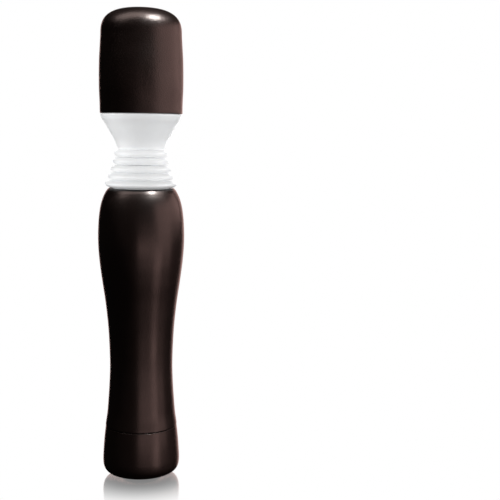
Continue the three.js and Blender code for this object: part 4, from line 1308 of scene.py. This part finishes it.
class Base(Assembly):
    """Turning base: the dial shell, its foot, the threaded collar and the seal."""

    shape = BaseShape()
    foot = FootShape()
    collar = CollarShape()

    def build(self) -> None:
        """Builds the pieces from the outside in."""
        self.build_dial()
        self.build_foot()
        self.build_collar()
        self.build_seal()

    def build_dial(self) -> None:
        """Outer wall of the base, rounded down to the underside, with the floor inside."""
        s = self.shape
        low, high, radius = node_span("dial_shell")
        pad = node_span("foot_pad")[2]
        bore = node_span("cap_collar")[2] + s.collar_gap
        shoulder = (radius, low + s.corner_height)
        corner = rounded(shoulder, (pad + s.corner_inset, low), s.corner_power, 40)[::-1]
        stations = [(radius - inset, low + height) for height, inset in s.side]
        side = spline([shoulder, *stations, (s.seam_radius, high - s.seam_ease)], 40)
        edge = softened([
            tuple(side[-1]), (s.seam_radius - s.seam_land, high), (bore, high), (bore, high - s.seam_depth),
        ], s.seam_ease, 5)
        recess, floor, ceiling = pad + s.foot_gap, low + s.floor, low + s.foot_recess
        seat, seat_top = s.screw_seat[0], low + s.screw_seat[1]
        under = [
            (bore, low + s.inside_corner[1]), (bore - s.inside_corner[0], floor), (s.screw_hole, floor),
            (s.screw_hole, seat_top), (seat, seat_top), (seat, ceiling), (recess, ceiling),
            (recess, low + s.edge_ease[1]), (recess + s.edge_ease[0], low),
        ]
        piece = turned("speed_base", joined(corner, side, edge, under), LARGE_ROUND)
        self.fit(piece, "dial_satin", "speed_dial", "dial_shell")

    def build_foot(self) -> None:
        """Rubber foot with a few shallow rings in its underside."""
        f = self.foot
        low, high, radius = node_span("foot_pad")
        inner = radius - f.edge
        r = np.linspace(inner, f.middle, 90)
        wave = 0.5 - 0.5 * np.cos(FULL_TURN * f.rings * (r / radius))
        under = np.stack([r, low + f.ring_depth * wave**2], axis=1)
        rim = softened([(inner, high), (radius, high), (radius, low), (inner, low)], f.ease, 6)
        outline = joined([(0, high)], rim, under, [(0, low + f.centre_depth)])
        piece = turned("foot_disc", outline, SMALL_ROUND)
        self.fit(piece, "foot_rubber", "speed_dial", "foot_pad")

    def build_collar(self) -> None:
        """Cup with the female thread that the grip screws into."""
        c = self.collar
        low, high, radius = node_span("cap_collar")
        thread_start = node_span("thread_nipple")[0] + NippleShape.start
        bore = collar_bore()
        seat, shelf = low + c.seat, low + c.boss_height
        heights = np.linspace(high - c.mouth, seat + c.step, THREAD_ROWS)
        wall = np.stack([np.full(len(heights), bore), heights], axis=1)
        outline = joined(
            [(0, low), (c.boss, low), (c.boss, shelf), (radius, shelf), (radius, high - c.ease),
             (radius - c.ease, high), (bore + c.mouth, high), (bore + c.step, high - 2 * c.step)],
            wall, [(bore - c.step, seat), (0, seat)],
        )
        groove = thread_relief(seat + c.first_turn, high + c.overrun, THREAD_PITCH, thread_start,
                               c.groove, c.groove_share)

        def inside(radii: np.ndarray, heights: np.ndarray, angles: np.ndarray) -> np.ndarray:
            """The groove, in the bore's wall alone."""
            return np.where(np.abs(radii - bore) < c.wall_band, groove(radii, heights, angles), 0)

        piece = turned("base_collar", outline, SMALL_ROUND, inside)
        self.fit(piece, "plastic_dark", "root", "cap_collar")

    def build_seal(self) -> None:
        """Rubber ring of round section between the base and the grip."""
        low, high, radius = node_span("seal_ring")
        wire = (high - low) / 2
        a = np.linspace(0, FULL_TURN, 28, endpoint=False)
        middle = (radius - wire, (low + high) / 2)
        outline = np.stack([middle[0] + wire * np.cos(a), middle[1] + wire * np.sin(a)], axis=1)
        self.fit(turned("seal_o_ring", outline, SMALL_ROUND), "seal_rubber", "seal", "seal_ring")


@dataclass
class CellShape:
    """Sizes of a dry cell and of the spring under it, in millimetres."""

    dish: float = 3.4
    dish_depth: float = 0.15
    foot: float = 4.6
    foot_inset: float = 0.5
    corner: float = 0.6
    shoulder: float = 1.2
    shoulder_drop: float = 0.7
    ring: float = 5.4
    land: float = 4.9
    land_depth: float = 0.3
    button: float = 2.3
    button_root: float = 2.9
    button_draft: float = 0.15
    button_edge: float = 0.2
    ease: float = 0.3
    spring_wire: float = 0.4
    spring_taper: float = 1.9
    spring_turns: int = 3


class PowerCells(Assembly):
    """The two dry cells and the spring under them."""

    shape = CellShape()

    def build(self) -> None:
        """Builds both cells and the contact spring."""
        for name in ("lower", "upper"):
            self.build_cell(name)
        self.build_spring()

    def build_cell(self, name: str) -> None:
        """Sleeved can with a rolled shoulder, a raised button and a dished base.

        Args:
            name: which of the two cells.
        """
        c = self.shape
        node = f"battery_{name}"
        low, high, radius = node_span(node)
        dish, shoulder = low + c.dish_depth, high - c.shoulder
        land = shoulder - c.land_depth
        can = softened([
            (c.dish, dish), (c.foot, low), (radius - c.foot_inset, low), (radius, low + c.corner),
            (radius, shoulder - c.shoulder_drop), (radius - c.corner, shoulder), (c.ring, shoulder),
            (c.land, land), (c.button_root, land),
            (c.button_root - c.button_draft, high - c.button_edge), (c.button, high),
        ], c.ease, 5)
        outline = joined([(0, dish)], can, [(0, high)])
        self.fit(turned(f"cell_{name}", outline, CELL_ROUND), "cell_jacket", "root", node)

    def build_spring(self) -> None:
        """Conical contact spring, wide on its plate and narrow at the cell."""
        c = self.shape
        low, high, radius = node_span("battery_spring")
        foot, head = radius - c.spring_wire, radius - c.spring_taper
        piece = coiled("cell_spring", low, high, foot, head, c.spring_wire, c.spring_turns)
        self.fit(piece, "steel", "root", "battery_spring")


# ---------------------------------------------------------------- studio


class Lit(Enum):
    """What a panel lights."""

    DARK_PIECES = "dark_pieces"
    NECK = "neck"
    TABLE = "table"


@dataclass
class Panel:
    """One light of the studio, aimed at a height on the object's axis."""

    name: str
    azimuth: float
    elevation: float
    distance: float
    width: float
    height: float
    watts: float
    colour: Colour = (1.0, 1.0, 1.0)
    aim: float = 0.12
    lit: Lit = Lit.DARK_PIECES


PINK: Colour = (1.0, 0.62, 0.56)

PANELS: tuple[Panel, ...] = (
    Panel("head_front", 60, 0, 0.60, 0.46, 0.30, 0.75, PINK, aim=0.26),
    Panel("head_side", 105, 0, 0.60, 0.60, 0.30, 0.95, PINK, aim=0.26),
    Panel("belly_side", 66, 0, 0.60, 0.40, 0.20, 0.34, PINK, aim=0.02),
    Panel("grip_strip", 45, 0, 0.60, 0.20, 0.16, 0.30, PINK, aim=-0.08),
    Panel("base_front", 14, 0, 0.60, 0.50, 0.12, 0.42, PINK, aim=-0.02),
    Panel("spark", 53, 56, 0.55, 0.045, 0.045, 7.5, (1.0, 0.90, 0.86), aim=0.2),
    Panel("crown", 0, 77, 0.60, 1.60, 0.40, 7.5, (1.0, 0.76, 0.70), aim=0.2),
    Panel("rear_left", -172, 0, 0.60, 0.26, 0.60, 0.8, PINK, aim=0.04),
    Panel("rear_right", 160, 0, 0.60, 0.34, 0.60, 0.9, PINK, aim=0.04),
    Panel("neck_front", -12, 4, 0.70, 0.70, 0.60, 3.0, aim=0.15, lit=Lit.NECK),
    Panel("neck_left", -78, 4, 0.70, 0.70, 0.60, 4.3, aim=0.15, lit=Lit.NECK),
    Panel("neck_right", 78, 4, 0.70, 0.70, 0.60, 5.0, aim=0.15, lit=Lit.NECK),
    Panel("neck_back", 170, 10, 0.70, 0.70, 0.60, 3.0, aim=0.15, lit=Lit.NECK),
    Panel("table_back", 180, 0, 2.0, 4.2, 3.0, 39.6, aim=1.4, lit=Lit.TABLE),
    Panel("table_front", 0, 0, 2.0, 4.2, 3.0, 39.6, aim=1.4, lit=Lit.TABLE),
    Panel("table_left", -90, 0, 2.0, 4.2, 3.0, 39.6, aim=1.4, lit=Lit.TABLE),
    Panel("table_right", 90, 0, 2.0, 4.2, 3.0, 39.6, aim=1.4, lit=Lit.TABLE),
)


@dataclass
class Table:
    """Sizes of the white table and of the glossy patch round the foot, in metres."""

    half: float = 6.0
    level: float = -0.0002
    gloss: float = 0.78
    gloss_full: float = 0.012
    gloss_end: float = 0.046
    roughness: float = 0.1


@dataclass
class Viewpoint:
    """Place and direction of the camera, in metres and radians."""

    distance: float = 0.440
    height: float = 0.157
    pan: float = 0.11129
    tilt: float = 0.12075
    roll: float = 0.01346
    lens: float = 70.55
    sensor: float = 36.0


class Studio:
    """Camera, floor, surroundings and lights."""

    view = Viewpoint()
    table = Table()

    def build(self, neck_pieces: Sequence[bpy.types.Object]) -> None:
        """Builds everything that isn't the object.

        Args:
            neck_pieces: the pale pieces, which have a light of their own.
        """
        self.build_camera()
        floor = self.build_floor()
        self.build_surroundings()
        groups = {
            Lit.DARK_PIECES: (*neck_pieces, floor),
            Lit.NECK: neck_pieces,
            Lit.TABLE: (floor,),
        }
        receivers = {}
        for lit, pieces in groups.items():
            receivers[lit] = bpy.data.collections.new(f"for_{lit.value}")
            for piece in pieces:
                receivers[lit].objects.link(piece)
        for member in receivers[Lit.DARK_PIECES].collection_objects:
            member.light_linking.link_state = "EXCLUDE"
        for panel in PANELS:
            self.build_panel(panel, receivers[panel.lit])

    def build_camera(self) -> None:
        """Camera in front of the object, panned, tilted and rolled a little."""
        v = self.view
        level = math.cos(v.tilt)
        ahead = Vector((math.sin(v.pan) * level, math.cos(v.pan) * level, -math.sin(v.tilt)))
        right = Vector((math.cos(v.pan), -math.sin(v.pan), 0))
        up = right.cross(ahead)
        turned_right = right * math.cos(v.roll) + up * math.sin(v.roll)
        turned_up = up * math.cos(v.roll) - right * math.sin(v.roll)
        data = bpy.data.cameras.new("camera")
        data.lens, data.sensor_width = v.lens, v.sensor
        camera = bpy.data.objects.new("camera", data)
        rows = Matrix((turned_right, turned_up, -ahead)).transposed()
        camera.matrix_world = Matrix.Translation((0, -v.distance, v.height)) @ rows.to_4x4()
        bpy.context.scene.collection.objects.link(camera)
        bpy.context.scene.camera = camera

    def build_floor(self) -> bpy.types.Object:
        """Wide white table, glossy close to the foot, with its surface just under it.

        Returns:
            The table.
        """
        square = np.array([[-1.0, -1.0], [1.0, -1.0], [1.0, 1.0], [-1.0, 1.0]]) * self.table.half
        corners = np.column_stack([square, np.full(len(square), self.table.level)])
        floor = mesh_object("floor", corners, [[0, 1, 2, 3]])
        floor.data.materials.append(self.floor_finish())
        return floor

    def floor_finish(self) -> bpy.types.Material:
        """White to the camera from above, and clear to other rays so that the dark pieces stay dark.

        Returns:
            The material.
        """
        t = self.table
        material = bpy.data.materials.new("white_table")
        material.use_nodes = True
        material.node_tree.nodes.clear()
        tree = NodeTree(material.node_tree)
        out = tree.add("ShaderNodeOutputMaterial")
        place = tree.add("ShaderNodeSeparateXYZ")
        tree.link(tree.add("ShaderNodeTexCoord").outputs["Object"], place.inputs[0])
        squares = [tree.math("POWER", place.outputs[axis], 2.0) for axis in ("X", "Y")]
        away = tree.math("SQRT", tree.math("ADD", *squares))
        near = tree.math("SUBTRACT", 1.0, tree.ramp(away, t.gloss_full, t.gloss_end))
        gloss = tree.math("MULTIPLY", near, t.gloss)
        white = tree.add("ShaderNodeEmission", Color=(1, 1, 1, 1), Strength=1.0)
        mirror = tree.add("ShaderNodeBsdfGlossy", Color=(1, 1, 1, 1), Roughness=t.roughness)
        seen = tree.add("ShaderNodeMixShader")
        tree.link(gloss, seen.inputs[0])
        tree.link(white.outputs[0], seen.inputs[1])
        tree.link(mirror.outputs[0], seen.inputs[2])
        clear = tree.add("ShaderNodeBsdfTransparent")
        ray = tree.add("ShaderNodeLightPath")
        above = tree.math("SUBTRACT", 1.0, tree.add("ShaderNodeNewGeometry").outputs["Backfacing"])
        mix = tree.add("ShaderNodeMixShader")
        tree.link(tree.math("MULTIPLY", ray.outputs["Is Camera Ray"], above), mix.inputs[0])
        tree.link(clear.outputs[0], mix.inputs[1])
        tree.link(seen.outputs[0], mix.inputs[2])
        tree.link(mix.outputs[0], out.inputs["Surface"])
        return material

    def build_surroundings(self) -> None:
        """Plain white to the camera and dim everywhere else."""
        world = bpy.data.worlds.new("surroundings")
        bpy.context.scene.world = world
        world.use_nodes = True
        world.node_tree.nodes.clear()
        tree = NodeTree(world.node_tree)
        out = tree.add("ShaderNodeOutputWorld")
        ray = tree.add("ShaderNodeLightPath")
        seen = tree.add("ShaderNodeBackground", Color=(1, 1, 1, 1), Strength=1.0)
        dim = tree.add("ShaderNodeBackground", Color=(1, 0.97, 0.95, 1), Strength=0.006)
        mix = tree.add("ShaderNodeMixShader")
        tree.link(ray.outputs["Is Camera Ray"], mix.inputs[0])
        tree.link(dim.outputs[0], mix.inputs[1])
        tree.link(seen.outputs[0], mix.inputs[2])
        tree.link(mix.outputs[0], out.inputs["Surface"])
        bpy.context.scene.view_settings.view_transform = "Standard"

    def build_panel(self, panel: Panel, receivers: bpy.types.Collection) -> None:
        """Rectangular light that faces its aim.

        Args:
            panel: place, size and strength.
            receivers: the pieces that it lights, or the ones that it leaves out.
        """
        data = bpy.data.lights.new(panel.name, "AREA")
        data.shape = "RECTANGLE"
        data.size, data.size_y = panel.width, panel.height
        data.energy, data.color = panel.watts, panel.colour
        azimuth, elevation = math.radians(panel.azimuth), math.radians(panel.elevation)
        level = math.cos(elevation)
        out = Vector((math.sin(azimuth) * level, -math.cos(azimuth) * level, math.sin(elevation)))
        light = bpy.data.objects.new(panel.name, data)
        light.matrix_world = Matrix.Translation(out * panel.distance + Vector((0, 0, panel.aim))) @ (
            out.to_track_quat("Z", "Y").to_matrix().to_4x4()
        )
        bpy.context.scene.collection.objects.link(light)
        light.light_linking.receiver_collection = receivers


# ---------------------------------------------------------------- main


def main() -> None:
    """Builds the assemblies in order, then the studio."""
    logging.basicConfig(level=logging.INFO, format="%(name)s: %(message)s")
    finishes = Finishes(SharedEffects())
    finishes.dress_frame()
    for assembly in (Head, Neck, Grip, Base, PowerCells):
        assembly(finishes).build()
    pale = [bpy.data.objects[name] for name in ("neck_bellows_lower", "neck_bellows_upper")]
    Studio().build(pale)


if __name__ == "__main__":
    main()
